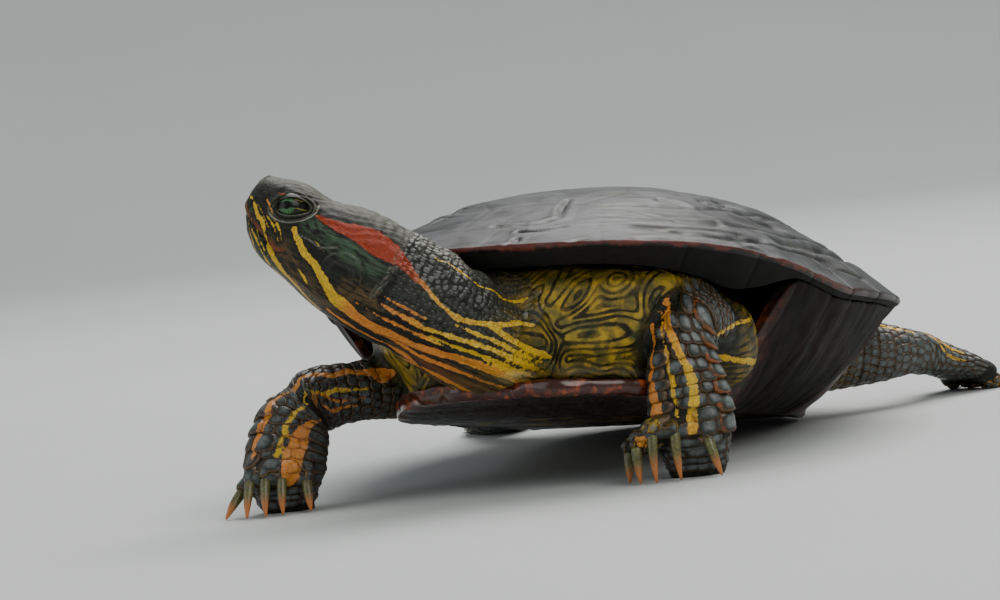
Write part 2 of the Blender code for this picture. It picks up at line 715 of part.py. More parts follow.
def build():
    clear_scene()
    body = [mesh_object("carapace", carapace_mesh(), "shell"),
            mesh_object("plastron", plastron_mesh(), "plastron"),
            mesh_object("trunk", trunk_mesh(), "skin")]
    around = [swollen(thing.data, 2.2 * GAP) for thing in body]

    neck = neck_tube().mesh("neck", -0.3, 5.0, 12)
    mesh_object("neck", trimmed(neck, [head_space()] + around), "skin")

    sockets = [ball("socket", eye_centre(side), EYE_RADIUS + GAP) for side in (1, -1)]
    whole = boolean(trimmed(head_blank(), around[:1]), sockets, "DIFFERENCE")
    mesh_object("head", boolean(whole, [jaw_block(GAP)], "DIFFERENCE"), "skin")
    mesh_object("lower_jaw", boolean(head_blank(), [jaw_block(0.0)], "INTERSECT"), "skin")
    for side, name in ((1, "eye_left"), (-1, "eye_right")):
        mesh_object(name, ball(name, eye_centre(side), EYE_RADIUS), "eye")

    for side in ("left", "right"):
        build_leg(side, FORELEGS[side], ("upper_arm_", "forearm_", "forefoot_"), fore_foot, around)
        for i, (base, tip) in enumerate(FORE_CLAWS[side]):
            name = f"claw_fore_{side}_{i + 1}"
            mesh_object(name, claw_mesh(name, base, tip, CLAW_RADIUS, FORE_BOW), "claw")
        tube = build_leg(side, HIND_LEGS[side], ("thigh_", "shin_", "hindfoot_"), hind_foot, around)
        for i, (base, tip) in enumerate(hind_claws(tube, HIND_LEGS[side]["cuts"][3])):
            name = f"claw_hind_{side}_{i + 1}"
            mesh_object(name, claw_mesh(name, base, tip, CLAW_RADIUS, HIND_BOW), "claw")

    tail = Tube(TAIL, 12).mesh("tail", 0.0, 4.0, 8, round_end=True)
    mesh_object("tail", cut_at_floor(trimmed(tail, around)), "skin")

    for thing in bpy.data.objects:
        thing.data.transform(Matrix.Translation(Vector(FRAME_SHIFT) * MM))


build()
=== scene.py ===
"""Looks of a life-size red-eared slider turtle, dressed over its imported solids.

Shapes are worked out in millimetres in the animal's own frame (nose towards -Y, left side +X,
floor at Z = 0) and turned into metres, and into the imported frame, when a mesh is made.
"""

from math import cos, pi, radians, sin

import bmesh
import bpy
import numpy as np
from bpy.props import FloatProperty, FloatVectorProperty, PointerProperty
from mathutils import Matrix, Vector
from mathutils.bvhtree import BVHTree


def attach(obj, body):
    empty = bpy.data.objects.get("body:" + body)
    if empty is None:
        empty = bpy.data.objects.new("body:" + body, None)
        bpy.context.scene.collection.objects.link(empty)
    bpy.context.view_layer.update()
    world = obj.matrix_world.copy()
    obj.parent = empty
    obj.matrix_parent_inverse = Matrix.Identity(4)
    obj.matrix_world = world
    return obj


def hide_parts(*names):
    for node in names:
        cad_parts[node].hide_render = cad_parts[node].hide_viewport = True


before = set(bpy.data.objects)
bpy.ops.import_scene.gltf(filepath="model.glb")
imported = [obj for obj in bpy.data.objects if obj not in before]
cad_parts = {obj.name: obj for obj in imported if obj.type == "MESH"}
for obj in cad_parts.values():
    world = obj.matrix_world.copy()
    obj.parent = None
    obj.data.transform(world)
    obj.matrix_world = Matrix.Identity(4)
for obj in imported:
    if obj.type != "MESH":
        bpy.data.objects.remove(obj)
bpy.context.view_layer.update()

bl_info = {
    "name": "Red-Eared Slider Turtle",
    "version": (1, 0, 0),
    "blender": (4, 5, 0),
    "location": "View3D > Sidebar > Turtle",
    "description": "Dresses the solids of a pond turtle with shell plates, scaly skin, eyes and claws",
    "category": "Add Mesh",
}

MM = 0.001
FRAME_SHIFT = np.array([-4.1, -0.285, 0.0])    # from the animal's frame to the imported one
SIDES = ("left", "right")


# ---- small maths

def mix(a, b, t):
    return a + (b - a) * t


def smooth(low, high, value):
    """0 below low, 1 above high and a soft step between; works on arrays."""
    t = np.clip((np.asarray(value, float) - low) / (high - low), 0, 1)
    return t * t * (3.0 - 2.0 * t)


def bell(value, width):
    """1 at zero, falling off softly over the width."""
    return np.exp(-(np.asarray(value, float) / width) ** 2)


def unit(v):
    v = np.asarray(v, float)
    return v / np.maximum(np.linalg.norm(v, axis=-1, keepdims=True), 1e-12)


def spline(values, t):
    """Catmull-Rom curve through rows of values at each t, which runs from 0 to len - 1."""
    values, t = np.asarray(values, float), np.asarray(t, float)
    i = np.clip(np.floor(t).astype(int), 0, len(values) - 2)
    f = (t - i).reshape(t.shape + (1,) * (values.ndim - 1))
    before, after = 2 * values[:1] - values[1:2], 2 * values[-1:] - values[-2:-1]
    padded = np.concatenate([before, values, after])
    p0, p1, p2, p3 = (padded[i + k] for k in range(4))
    return 0.5 * (2 * p1 + (p2 - p0) * f + (2 * p0 - 5 * p1 + 4 * p2 - p3) * f ** 2
                  + (3 * p1 - p0 - 3 * p2 + p3) * f ** 3)


def along_table(table, at):
    """Values of a table whose first column rises, read at each place by smooth interpolation."""
    table = np.asarray(table, float)
    step = np.interp(at, table[:, 0], np.arange(len(table)))
    return spline(table[:, 1:], step)


def squircle(angle, power):
    """Points on a unit superellipse; power 2 is a circle and more is squarer."""
    c, s = np.cos(angle), np.sin(angle)
    return (np.sign(c) * np.abs(c) ** (2.0 / power), np.sign(s) * np.abs(s) ** (2.0 / power))


def circle(count):
    """Angles evenly round a circle."""
    return np.arange(count) * 2 * pi / count


def noise(points, scale, seed):
    """Smooth noise from -1 to 1 with features about scale mm across."""
    table = np.random.RandomState(seed).uniform(-1.0, 1.0, (32, 32, 32))
    q = np.asarray(points, float) / scale + 500.0
    cell = np.floor(q).astype(int)
    f = q - cell
    f = f * f * (3.0 - 2.0 * f)
    total = np.zeros(len(q))
    for corner in range(8):
        step = np.array([corner & 1, (corner >> 1) & 1, (corner >> 2) & 1])
        weight = np.prod(np.where(step == 1, f, 1.0 - f), axis=1)
        x, y, z = ((cell + step) % 32).T
        total += weight * table[x, y, z]
    return total


def layers(points, scale, seed, count=3):
    """Noise with finer noise laid over it."""
    return sum(noise(points, scale / 2 ** k, seed + k) / 2 ** k for k in range(count)) / 1.6


# ---- making objects

def to_packed(points):
    return (np.asarray(points, float) + FRAME_SHIFT) * MM


def mesh_from(name, points, faces):
    """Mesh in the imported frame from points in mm."""
    mesh = bpy.data.meshes.new(name)
    mesh.from_pydata(to_packed(points).tolist(), [], faces)
    mesh.validate()
    return mesh


def add_object(name, mesh):
    thing = bpy.data.objects.new(name, mesh)
    bpy.context.scene.collection.objects.link(thing)
    return thing


def read(items, key, width=1, kind=np.float32):
    """One property of every item of a mesh, in rows of width."""
    flat = np.empty(len(items) * width, kind)
    items.foreach_get(key, flat)
    return flat.reshape(-1, width) if width > 1 else flat


def mesh_points(mesh):
    """Vertex places in mm in the animal's frame."""
    return read(mesh.vertices, "co", 3).astype(float) / MM - FRAME_SHIFT


def set_mesh_points(mesh, points):
    mesh.vertices.foreach_set("co", to_packed(points).astype(np.float32).ravel())
    mesh.update()


def mesh_normals(mesh):
    return read(mesh.vertex_normals, "vector", 3).astype(float)


def outward(mesh):
    """The mesh with every face turned outwards and shaded smooth."""
    shape = bmesh.new()
    shape.from_mesh(mesh)
    bmesh.ops.recalc_face_normals(shape, faces=shape.faces)
    shape.to_mesh(mesh)
    shape.free()
    mesh.shade_smooth()
    return mesh


def edge_ends(mesh):
    return read(mesh.edges, "vertices", 2, np.int32).T


def write_attributes(mesh, **layers_by_name):
    """A number or a vector for each vertex, under each attribute's name."""
    for name, values in layers_by_name.items():
        kind, key = ("FLOAT", "value") if np.ndim(values) == 1 else ("FLOAT_VECTOR", "vector")
        layer = mesh.attributes.new(name, kind, "POINT")
        layer.data.foreach_set(key, np.asarray(values, np.float32).ravel())


def grid_faces(rows, columns):
    """Quads of a grid of points whose last column joins the first."""
    r, c = np.meshgrid(np.arange(rows - 1), np.arange(columns), indexing="ij")
    after = (c + 1) % columns
    quads = [r * columns + c, r * columns + after, (r + 1) * columns + after, (r + 1) * columns + c]
    return np.stack(quads, -1).reshape(-1, 4).tolist()


def lofted(rings, first_pole=None, last_pole=None):
    """Points and faces of a closed skin over rings, with a fan to a pole or a flat cap at each end."""
    rings = np.asarray(rings, float)
    rows, columns = rings.shape[:2]
    points = list(rings.reshape(-1, 3))
    faces = grid_faces(rows, columns)
    for pole, row in ((first_pole, 0), (last_pole, rows - 1)):
        ring = [row * columns + i for i in range(columns)]
        if row == 0:
            ring = ring[::-1]
        if pole is None:
            faces.append(ring)
            continue
        points.append(np.asarray(pole, float))
        faces += [(ring[i], ring[(i + 1) % columns], len(points) - 1) for i in range(columns)]
    return np.array(points), faces


# ---- shape of the shell

SHELL_LENGTH = 192.0
SHELL_WIDTH = 148.0
DOME_HEIGHT = 31.5
BELLY_DEPTH = 30.5
SHELL_WALL = 4.0
RIM_THICKNESS = 2.6
RIM_FLANGE = 11.0
FLANGE_DROP = {"front": 5.0, "side": 13.0, "rear": 6.0}
FRONT_RIM_RISE = 11.5
REAR_RIM_RISE = 1.0
SHELL_PITCH = 7.5
SHELL_ROLL = -1.8
SHELL_CENTRE = (0.0, 0.0, 39.5)
BELLY_FLAT_HALF = 40.0
BRIDGE_CURVE = 1.6
LOBE_HALF_WIDTH = 47.0
FRONT_LOBE = 90.0
REAR_LOBE = 82.0
LOBE_UPTURN = 4.0
BRIDGE_FRONT_ANGLE = 43.0
BRIDGE_REAR_ANGLE = 33.0
BRIDGE_FADE = 9.0
SKIN_BULGE_FRONT = 5.0
SKIN_BULGE_REAR = 3.0

SHELL_TO_ANIMAL = (Matrix.Translation(SHELL_CENTRE)
                   @ Matrix.Rotation(radians(-SHELL_PITCH), 4, "X")
                   @ Matrix.Rotation(radians(-SHELL_ROLL), 4, "Y"))
SHELL_MATRIX = np.array(SHELL_TO_ANIMAL)
SHELL_INVERSE = np.array(SHELL_TO_ANIMAL.inverted())


def from_shell(points):
    return points @ SHELL_MATRIX[:3, :3].T + SHELL_MATRIX[:3, 3]


def into_shell(points):
    return points @ SHELL_INVERSE[:3, :3].T + SHELL_INVERSE[:3, 3]


def rim_radius(angle):
    c, s = np.cos(angle), np.sin(angle)
    half_width = SHELL_WIDTH / 2 * (1.0 + 0.045 * s)
    power = np.where(s < 0, 2.35, 2.2)
    return (np.abs(c / half_width) ** power + np.abs(s / (SHELL_LENGTH / 2)) ** power) ** (-1.0 / power)


def rim_height(angle):
    forward = -np.sin(angle)
    return FRONT_RIM_RISE * smooth(0.25, 1, forward) + REAR_RIM_RISE * smooth(0.4, 1, -forward)


def dome_point(angle, r):
    """(out, up) on the outer face of the carapace, r from 0 at the top to 1 at the rim."""
    steepness = mix(1.2, 1.05, np.cos(angle) ** 2)
    height = DOME_HEIGHT * (1.0 - r ** 2.4) ** steepness + rim_height(angle) * r * r
    return rim_radius(angle) * r, height


def bridge_share(angle):
    """1 where the two shells join at the sides, 0 at the ends."""
    degrees = np.degrees(np.arcsin(np.sin(angle)))
    reach = np.where(degrees > 0, BRIDGE_REAR_ANGLE, BRIDGE_FRONT_ANGLE)
    return 1.0 - smooth(-BRIDGE_FADE, BRIDGE_FADE, np.abs(degrees) - reach)


def flange_point(angle, share):
    """(out, up) on the underside of the rim, share from 0 at the edge to 1 at its inner lip."""
    open_share = 1.0 - bridge_share(angle)
    forward = -np.sin(angle)
    end_drop = np.where(forward > 0, FLANGE_DROP["front"], FLANGE_DROP["rear"])
    drop = mix(FLANGE_DROP["side"], end_drop, smooth(0.55, 1, np.abs(forward)))
    width, drop = mix(2, RIM_FLANGE, open_share), mix(RIM_THICKNESS, drop, open_share)
    out, up = dome_point(angle, np.ones_like(angle))
    return out - 0.5 - (width - 0.5) * share, up + mix(-RIM_THICKNESS * 0.6, -drop, share)


def lobe_radius(angle):
    c, s = np.cos(angle), np.sin(angle)
    length = np.where(s > 0, REAR_LOBE, FRONT_LOBE)
    power = np.where(s > 0, 2.3, 2.8)
    return (np.abs(c / LOBE_HALF_WIDTH) ** power + np.abs(s / length) ** power) ** (-1.0 / power)


def plastron_edge(angle):
    return mix(lobe_radius(angle), rim_radius(angle) - 2.2, bridge_share(angle))


def belly_height(angle, out):
    x, y = out * np.abs(np.cos(angle)), out * np.sin(angle)
    wall_top = rim_radius(angle) - 2.2
    half = np.maximum(wall_top * np.abs(np.cos(angle)), BELLY_FLAT_HALF + 12.0)
    share = np.clip((x - BELLY_FLAT_HALF) / (half - BELLY_FLAT_HALF), 0, 1)
    top = rim_height(angle) - RIM_THICKNESS - 0.3
    wall = (top + BELLY_DEPTH) * share ** BRIDGE_CURVE
    return -BELLY_DEPTH + wall + LOBE_UPTURN * smooth(50, FRONT_LOBE, np.abs(y))


def joined(bodies):
    """Points and faces of several forms as one."""
    faces, start = [], 0
    for body in bodies:
        faces += [[start + i for i in face] for face in body[1]]
        start += len(body[0])
    return np.concatenate([body[0] for body in bodies]), faces


def turned(angle, out, up):
    """Points in the animal's frame from a direction round the shell and a profile point."""
    return from_shell(np.stack([out * np.cos(angle), out * np.sin(angle), up], -1))


# ---- flesh as tubes

def shell_axis(up):
    """The point of the shell's upright axis at a height."""
    return from_shell(np.array([0.0, 0.0, up]))


class Tube:
    """Rounded tube through joints: (place, half breadth, half depth, breadth direction)."""

    def __init__(self, joints, start, end, power=2.2, samples=160):
        self.power = power
        self.t = np.linspace(start, end, samples)
        places, breadths, depths, ways = zip(*joints)
        self.place = spline(places, self.t)
        self.ahead = unit(spline(places, self.t + 0.02) - spline(places, self.t - 0.02))
        across = spline(unit(ways), self.t)
        self.across = unit(across - self.ahead * np.sum(across * self.ahead, 1, keepdims=True))
        self.deep = np.cross(self.ahead, self.across)
        self.breadth, self.depth = spline(breadths, self.t), spline(depths, self.t)
        steps = np.linalg.norm(np.diff(self.place, axis=0), axis=1)
        self.length = np.append(0.0, np.cumsum(steps))

    def at(self, length):
        """Place, across and deep at lengths along the tube in mm."""
        k = np.interp(length, self.length, np.arange(len(self.length)))
        low = np.clip(np.floor(k).astype(int), 0, len(self.length) - 2)
        f = (k - low)[..., None]
        return [row[low] * (1 - f) + row[low + 1] * f for row in (self.place, self.across, self.deep)]

    def size_at(self, length):
        return np.interp(length, self.length, self.breadth), np.interp(length, self.length, self.depth)

    def ring_points(self, sides):
        a, b = squircle(circle(sides), self.power)
        return (self.place[:, None] + self.across[:, None] * (self.breadth[:, None] * a)[..., None]
                + self.deep[:, None] * (self.depth[:, None] * b)[..., None])

    def coordinates(self, points):
        """Length along, angle round (0 on the across side, up against deep) and distance out."""
        found = []
        for part in np.array_split(points, len(points) // 20000 + 1):
            near = ((part[:, None] - self.place[None]) ** 2).sum(-1).argmin(1)
            away = part - self.place[near]
            x, y = (away * self.across[near]).sum(1), -(away * self.deep[near]).sum(1)
            found.append((self.length[near] + (away * self.ahead[near]).sum(1),
                          np.arctan2(y / self.depth[near], x / self.breadth[near]), np.hypot(x, y)))
        return [np.concatenate(values) for values in zip(*found)]


UP = (0, 0, 1)
FOOT_BREADTH = (0.94, 0.31, -0.1)

FORELEGS = {
    "left": [((28, -36, 32), 13, 12, UP), ((42, -50, 31), 12, 11, UP),
             ((42.5, -62.5, 35), 9.5, 8.5, (0.5, 0, 1)), ((40.6, -71.5, 37.3), 7.6, 7.4, (1, 0, 0.3)),
             ((40.2, -76.3, 31), 8.2, 6.6, FOOT_BREADTH), ((40.8, -77.6, 22.5), 9.8, 5.8, FOOT_BREADTH),
             ((41.4, -77.6, 14), 10.4, 4.8, FOOT_BREADTH), ((41, -75.8, 7), 8.6, 4.3, FOOT_BREADTH),
             ((40.5, -73.6, -1.5), 6.8, 4.4, FOOT_BREADTH)],
    "right": [((-28, -40, 33), 12, 12, UP), ((-41, -55, 29), 10, 10, UP), ((-50, -66, 28.2), 7.6, 7.6, UP),
              ((-59.5, -72, 27.3), 8.6, 7.4, (0.5, 0.2, 1)), ((-64.8, -77, 22.5), 9.8, 6.8, (1, 0.3, 0.3)),
              ((-66, -81.5, 16.5), 10.3, 5.8, FOOT_BREADTH),
              ((-66.6, -83.6, 10.5), 10.4, 5.2, FOOT_BREADTH), ((-67.4, -82.6, 5), 8.2, 4.7, FOOT_BREADTH),
              ((-67.8, -81, -1.5), 6.4, 4.5, FOOT_BREADTH)],
}
HIND_LEGS = {
    "left": [((26, 40, 22), 14, 13, UP), ((42, 55, 19), 12, 12, UP), ((56, 66, 16), 8.6, 8.6, UP),
             ((63.5, 76, 14.5), 6, 6.5, UP), ((67, 86, 12), 6.5, 5, (1, -0.5, 0)),
             ((71, 95, 8.5), 10, 4, (1, -0.5, 0)), ((75.5, 103, 5), 11, 2.8, (1, -0.5, 0))],
    "right": [((-26, 40, 22), 14, 13, UP), ((-41, 55, 18.5), 12, 12, UP), ((-54, 66, 15), 9, 9, UP),
              ((-61, 74, 12), 6.8, 7, UP), ((-63.5, 81, 7.5), 7.5, 5.2, (1, 0.3, 0)),
              ((-66, 88.5, 4), 10, 4, (1, 0.3, 0)), ((-68.5, 96.5, 2.6), 11, 2.6, (1, 0.3, 0))],
}
FORE_CLAWS = {
    "left": [((25.7, -82.6, 7.2), (25.5, -84, 0.4)), ((29, -87, 8.8), (29.3, -87.6, 0.4)),
             ((33.4, -87, 12), (33.6, -88, 0.4)), ((38.6, -84.8, 11.6), (39.3, -85.6, 0.4)),
             ((46.2, -81.2, 9.2), (48.9, -82, 0.4))],
    "right": [((-59.6, -87.2, 7.6), (-58.4, -89.6, 0.4)), ((-65.2, -90.2, 9), (-64.7, -93.2, 0.4)),
              ((-69.2, -91.8, 9.2), (-68.7, -95.2, 0.4)), ((-73.5, -91.5, 9), (-73.8, -95.6, 0.4)),
              ((-77.4, -88.4, 6.4), (-80.4, -93.6, 0.4))],
}
TOE_ROOTS = {"left": (39.0, -75.5, 11.0), "right": (-67.5, -80.0, 9.0)}
TOE_RADIUS = 2.0
KNUCKLE_BACK = 2.6             # how far the knuckle lies behind the claw's base
FORE_BOW = (0.0, -0.12, 0.04)
HIND_BOW = (0.0, 0.0, 0.1)
HIND_TOES = 4
HIND_TOE_SPACING = 5.2
HIND_TOE_LENGTH = 4.6
HIND_TOE_FAN = 0.035           # how much further outwards each mm to the side points a toe
HIND_CLAW_LENGTH = 8.0
HIND_TOE_ROOT = 3.6            # heights over the floor
HIND_CLAW_BASE = 2.0
HIND_CLAW_TIP = 0.5
TAIL = [((0, 62, 16), 9, 8, (1, 0, 0)), ((1, 80, 12.5), 6.5, 6, (1, 0, 0)),
        ((4, 95, 7.5), 4.4, 4.2, (1, 0.2, 0)), ((9, 107, 3.8), 2.8, 2.8, (1, 0.4, 0)),
        ((16, 117, 1.3), 1.5, 1.5, (1, 0.5, 0))]

HEAD_SNOUT = (-58.0, -110.0, 81.5)
HEAD_TURN = 74.0
HEAD_PITCH = 38.5
HEAD_ROLL = -2.0
EYE_RADIUS = 4.3
EYE_PLACE = (11.1, 4.6, 5.6)
# Head outline, measured back from the snout: crown, throat, half width, level of the widest part.
HEAD_SECTIONS = [(0.3, 5.6, -1.2, 3, 1), (1.4, 7.6, -3.2, 4.6, 1), (4, 9.2, -6.2, 6.2, 0.5),
                 (8, 10.9, -9.2, 7.9, 0.5), (12, 11.6, -10.6, 9.2, 0.5), (16, 11.4, -11.2, 10.2, 0.5),
                 (20, 11.9, -11.9, 11.6, 0), (26, 14, -13.1, 13, -1), (32, 15.1, -13.7, 13.6, -1),
                 (39.5, 15.3, -13.6, 12.8, 0.5)]
HEAD_LENGTH = 39.5
NECK_JOINTS = [((-20.5, -99.1, 52.6), 12.6, 14.2, (0.42, -0.9, 0.05)),
               ((-13.9, -95.1, 46.2), 13, 14, (0.66, -0.74, 0.04)),
               ((-8.3, -87.8, 39.6), 13.6, 14, (0.9, -0.4, 0)),
               ((-4.6, -75.5, 36), 14.5, 13.6, (1, -0.1, 0)), ((-2, -54, 35), 16, 13, (1, 0, 0))]


def head_axes():
    """Rows: back from the snout, out to the animal's left, up through the crown."""
    turn, pitch = radians(HEAD_TURN), radians(HEAD_PITCH)
    back = Vector((sin(turn) * cos(pitch), cos(turn) * cos(pitch), -sin(pitch)))
    left = Vector((cos(turn), -sin(turn), 0.0))
    left = Matrix.Rotation(radians(HEAD_ROLL), 3, back) @ left
    crown = back.cross(left)
    if crown.z < 0:
        crown = -crown
    return np.array([back, left, crown])


HEAD_AXES = head_axes()


def in_head(back, left, up):
    """Points of the animal's frame from distances in the head's own frame."""
    local = np.stack(np.broadcast_arrays(back, left, up), -1).astype(float)
    return local @ HEAD_AXES + HEAD_SNOUT


def head_coordinates(points):
    """Distances back, left and up from the snout."""
    return (np.asarray(points, float) - HEAD_SNOUT) @ HEAD_AXES.T


def neck_tube():
    """Tube from the snout's tip through head and neck; its angle is 0 at the animal's left, up the crown."""
    left = HEAD_AXES[1]
    head = [(in_head(b, 0.0, 0.6), 8.0, 9.0, left) for b in (0.0, 8.0, 16.0, 24.0, 32.0)]
    joints = head + [(in_head(39.8, 0.0, 0.85), 12.8, 14.4, (0.3, -0.95, 0.05))] + NECK_JOINTS
    return Tube(joints, 0.0, 10.0, 2.15, samples=240)


# ---- skin: base form

SKIN_VOXEL = 0.99
FINE_SKIN = 66.0               # how far down the neck the skin's faces are cut finer
FINE_LIDS = 8.2                # how far round each eye they are cut finer again
NECK_START = 4.9               # where the neck's own form takes over from the head's, in joints
SKIN_TUBES = ("neck", "foreleg_left", "foreleg_right", "hindleg_left", "hindleg_right", "tail")


def body_tubes():
    """Every fleshy limb as a tube, by name."""
    tubes = {"neck": neck_tube(), "tail": Tube(TAIL, 0.0, 4.0)}
    for side in SIDES:
        tubes["foreleg_" + side] = Tube(FORELEGS[side], 0.0, 8.0, samples=200)
        tubes["hindleg_" + side] = Tube(HIND_LEGS[side], 0.0, 6.0, samples=160)
    return tubes


SNOUT_PEAK = 1.1               # how much the snout's upper corner stands above the solid's


def head_form():
    """Closed form of the head from snout to nape."""
    back = np.concatenate([np.linspace(0, 4, 14)[1:], np.linspace(4.6, HEAD_LENGTH + 2.0, 50)])
    crown, throat, half, level = along_table(HEAD_SECTIONS, np.clip(back, 0.3, HEAD_LENGTH)).T[..., None]
    crown = crown + SNOUT_PEAK * smooth(5, 0, back)[:, None]
    a, b = squircle(circle(72), 2.3)
    reach = np.where(b > 0, crown - level, level - throat)
    return lofted(in_head(back[:, None], half * a, level + reach * b), in_head(-0.2, 0.0, 3.0))


def tube_form(tube, sides=36, first=0.0, round_end=False):
    rings = tube.ring_points(sides)[tube.t >= first]
    pole = tube.place[-1] + tube.ahead[-1] * tube.depth[-1] * 0.5 if round_end else None
    return lofted(rings, None, pole)


def pocket_form():
    """Soft skin between the rims of carapace and plastron, as a closed band round the shell."""
    angle = circle(180)
    bridge = bridge_share(angle)
    front = smooth(0, 0.4, -np.sin(angle))
    lip = np.stack(flange_point(angle, np.ones_like(angle)), -1)
    edge = plastron_edge(angle)
    reach = mix(edge - 5.0, edge * 0.8, bridge)
    below = np.stack([reach, belly_height(angle, reach) + 5.0], -1)
    under_lip = lip + (-1.5, -1.5)
    bulge = mix(SKIN_BULGE_REAR, SKIN_BULGE_FRONT, front)
    profile = [lip + (-12.0, 1.0), lip + (-3.4, -0.35), under_lip]
    for t in (0.14, 0.28, 0.42, 0.56, 0.7, 0.85):
        swell = np.stack([bulge * sin(pi * t ** 0.7), 0 * angle], -1)
        profile.append(under_lip + (below - under_lip) * t + swell)
    profile += [below, below + (-10.0, 0.0)]
    rings = []
    for k, point in enumerate(profile):
        inner = np.stack([edge * 0.8 - 8.0, mix(lip[:, 1] - 6.0, below[:, 1], k / (len(profile) - 1))], -1)
        rings.append(turned(angle, *(point + (inner - point) * bridge[:, None]).T))
    rings = np.stack(rings + rings[:1])
    count = rings[:-1].shape[0] * len(angle)
    faces = [[i % count for i in face] for face in grid_faces(len(rings), len(angle))]
    return rings[:-1].reshape(-1, 3), faces


def ball_points(centre, radius, rows=5, columns=10):
    polar, turn = np.linspace(0, pi, rows + 2)[:, None], circle(columns)
    flat = np.sin(polar)
    grid = np.stack([flat * np.cos(turn), flat * np.sin(turn), np.cos(polar) + 0 * turn], -1)
    return centre + radius * grid.reshape(-1, 3)


def claw_middle(base, tip, bow):
    return (base + tip) / 2 + np.array(bow) * np.linalg.norm(tip - base)


def toe_form(root, base, tip, radius, bow):
    """Rounded toe over its knuckle, as the hull of three balls."""
    ahead = unit(claw_middle(base, tip, bow) - base)
    knuckle = base - ahead * KNUCKLE_BACK
    cloud = np.concatenate([ball_points(root, radius * 1.1), ball_points(knuckle, radius * 1.12),
                            ball_points(base - ahead * 0.6, radius * 0.9)])
    shape = bmesh.new()
    for point in cloud:
        shape.verts.new(point)
    bmesh.ops.remove_doubles(shape, verts=shape.verts, dist=1e-4)
    hull = bmesh.ops.convex_hull(shape, input=shape.verts)
    spare = [item for item in hull["geom_interior"] if isinstance(item, bmesh.types.BMVert)]
    bmesh.ops.delete(shape, geom=spare, context="VERTS")
    bmesh.ops.recalc_face_normals(shape, faces=shape.faces)
    shape.verts.index_update()
    points = np.array([v.co for v in shape.verts])
    faces = [[v.index for v in face.verts] for face in shape.faces]
    shape.free()
    return points, faces


def hind_claw_places(side):
    """Claw bases and tips fanned across the end of a hind foot."""
    tube = Tube(HIND_LEGS[side], 0.0, 6.0)
    ahead = unit(tube.ahead[-1] * (1, 1, 0))
    across = tube.across[-1]
    claws = []
    for i in range(HIND_TOES):
        offset = (i - (HIND_TOES - 1) / 2) * HIND_TOE_SPACING
        spread = unit(ahead + across * (offset * HIND_TOE_FAN))
        base = tube.place[-1] + across * offset + spread * (HIND_TOE_LENGTH - 0.02 * offset ** 2)
        base[2] = HIND_CLAW_BASE
        tip = base + spread * HIND_CLAW_LENGTH
        tip[2] = HIND_CLAW_TIP
        claws.append((base, tip))
    return claws


def all_toes():
    """(name, root, base, tip, bow) of every toe."""
    toes = []
    for side in SIDES:
        for i, (base, tip) in enumerate(FORE_CLAWS[side]):
            base, tip, root = np.array(base), np.array(tip), np.array(TOE_ROOTS[side])
            toes.append((f"claw_fore_{side}_{i + 1}", mix(root, base, 0.35), base, tip, FORE_BOW))
        for i, (base, tip) in enumerate(hind_claw_places(side)):
            root = base + (base - tip) * 0.9
            root[2] = HIND_TOE_ROOT
            toes.append((f"claw_hind_{side}_{i + 1}", root, base, tip, HIND_BOW))
    return toes


def remeshed(name, bodies, voxel):
    """One closed skin round several closed forms."""
    holder = add_object(name, mesh_from(name, *joined(bodies)))
    shrink = holder.modifiers.new("skin", "REMESH")
    shrink.mode = "VOXEL"
    shrink.voxel_size = voxel * MM
    shrink.adaptivity = 0.0
    soften = holder.modifiers.new("soften", "SMOOTH")
    soften.factor = 0.5
    soften.iterations = 5
    graph = bpy.context.evaluated_depsgraph_get()
    mesh = bpy.data.meshes.new_from_object(holder.evaluated_get(graph))
    bpy.data.objects.remove(holder)
    return mesh


def refined(mesh, chosen):
    """The mesh with the faces round the chosen vertices cut in four."""
    shape = bmesh.new()
    shape.from_mesh(mesh)
    shape.verts.ensure_lookup_table()
    edges = [e for e in shape.edges if chosen[e.verts[0].index] and chosen[e.verts[1].index]]
    bmesh.ops.subdivide_edges(shape, edges=edges, cuts=1, use_grid_fill=True)
    shape.to_mesh(mesh)
    shape.free()
    return mesh


def relaxed(mesh, rows, chosen, rounds):
    """Rows of values moved towards the mean of their neighbours', where chosen is 1."""
    a, b = edge_ends(mesh)
    size = len(rows)
    count = np.bincount(a, minlength=size) + np.bincount(b, minlength=size)
    for _ in range(rounds):
        total = np.stack([np.bincount(a, column[b], size) + np.bincount(b, column[a], size)
                          for column in rows.T], -1)
        rows = rows + (total / count[:, None] - rows) * (0.5 * chosen)[:, None]
    return rows


def drawn_to(points, form, weight, reach=2.5):
    """Points moved onto a closed form by a weight, where they lie within reach of it."""
    form_points, faces = form
    tree = BVHTree.FromPolygons(form_points.tolist(), faces)
    points = points.copy()
    for i in np.nonzero(weight > 0.01)[0]:
        near = tree.find_nearest(Vector(points[i]), reach)[0]
        if near is not None:
            points[i] = mix(points[i], np.array(near), weight[i])
    return points


HEAD_REACH = 1.7               # how far the head's skin stands out, in plain radii of its tube
FOOT_REACH = 2.2               # the same for a foot with its toes
FOOT_LENGTH = 16.0


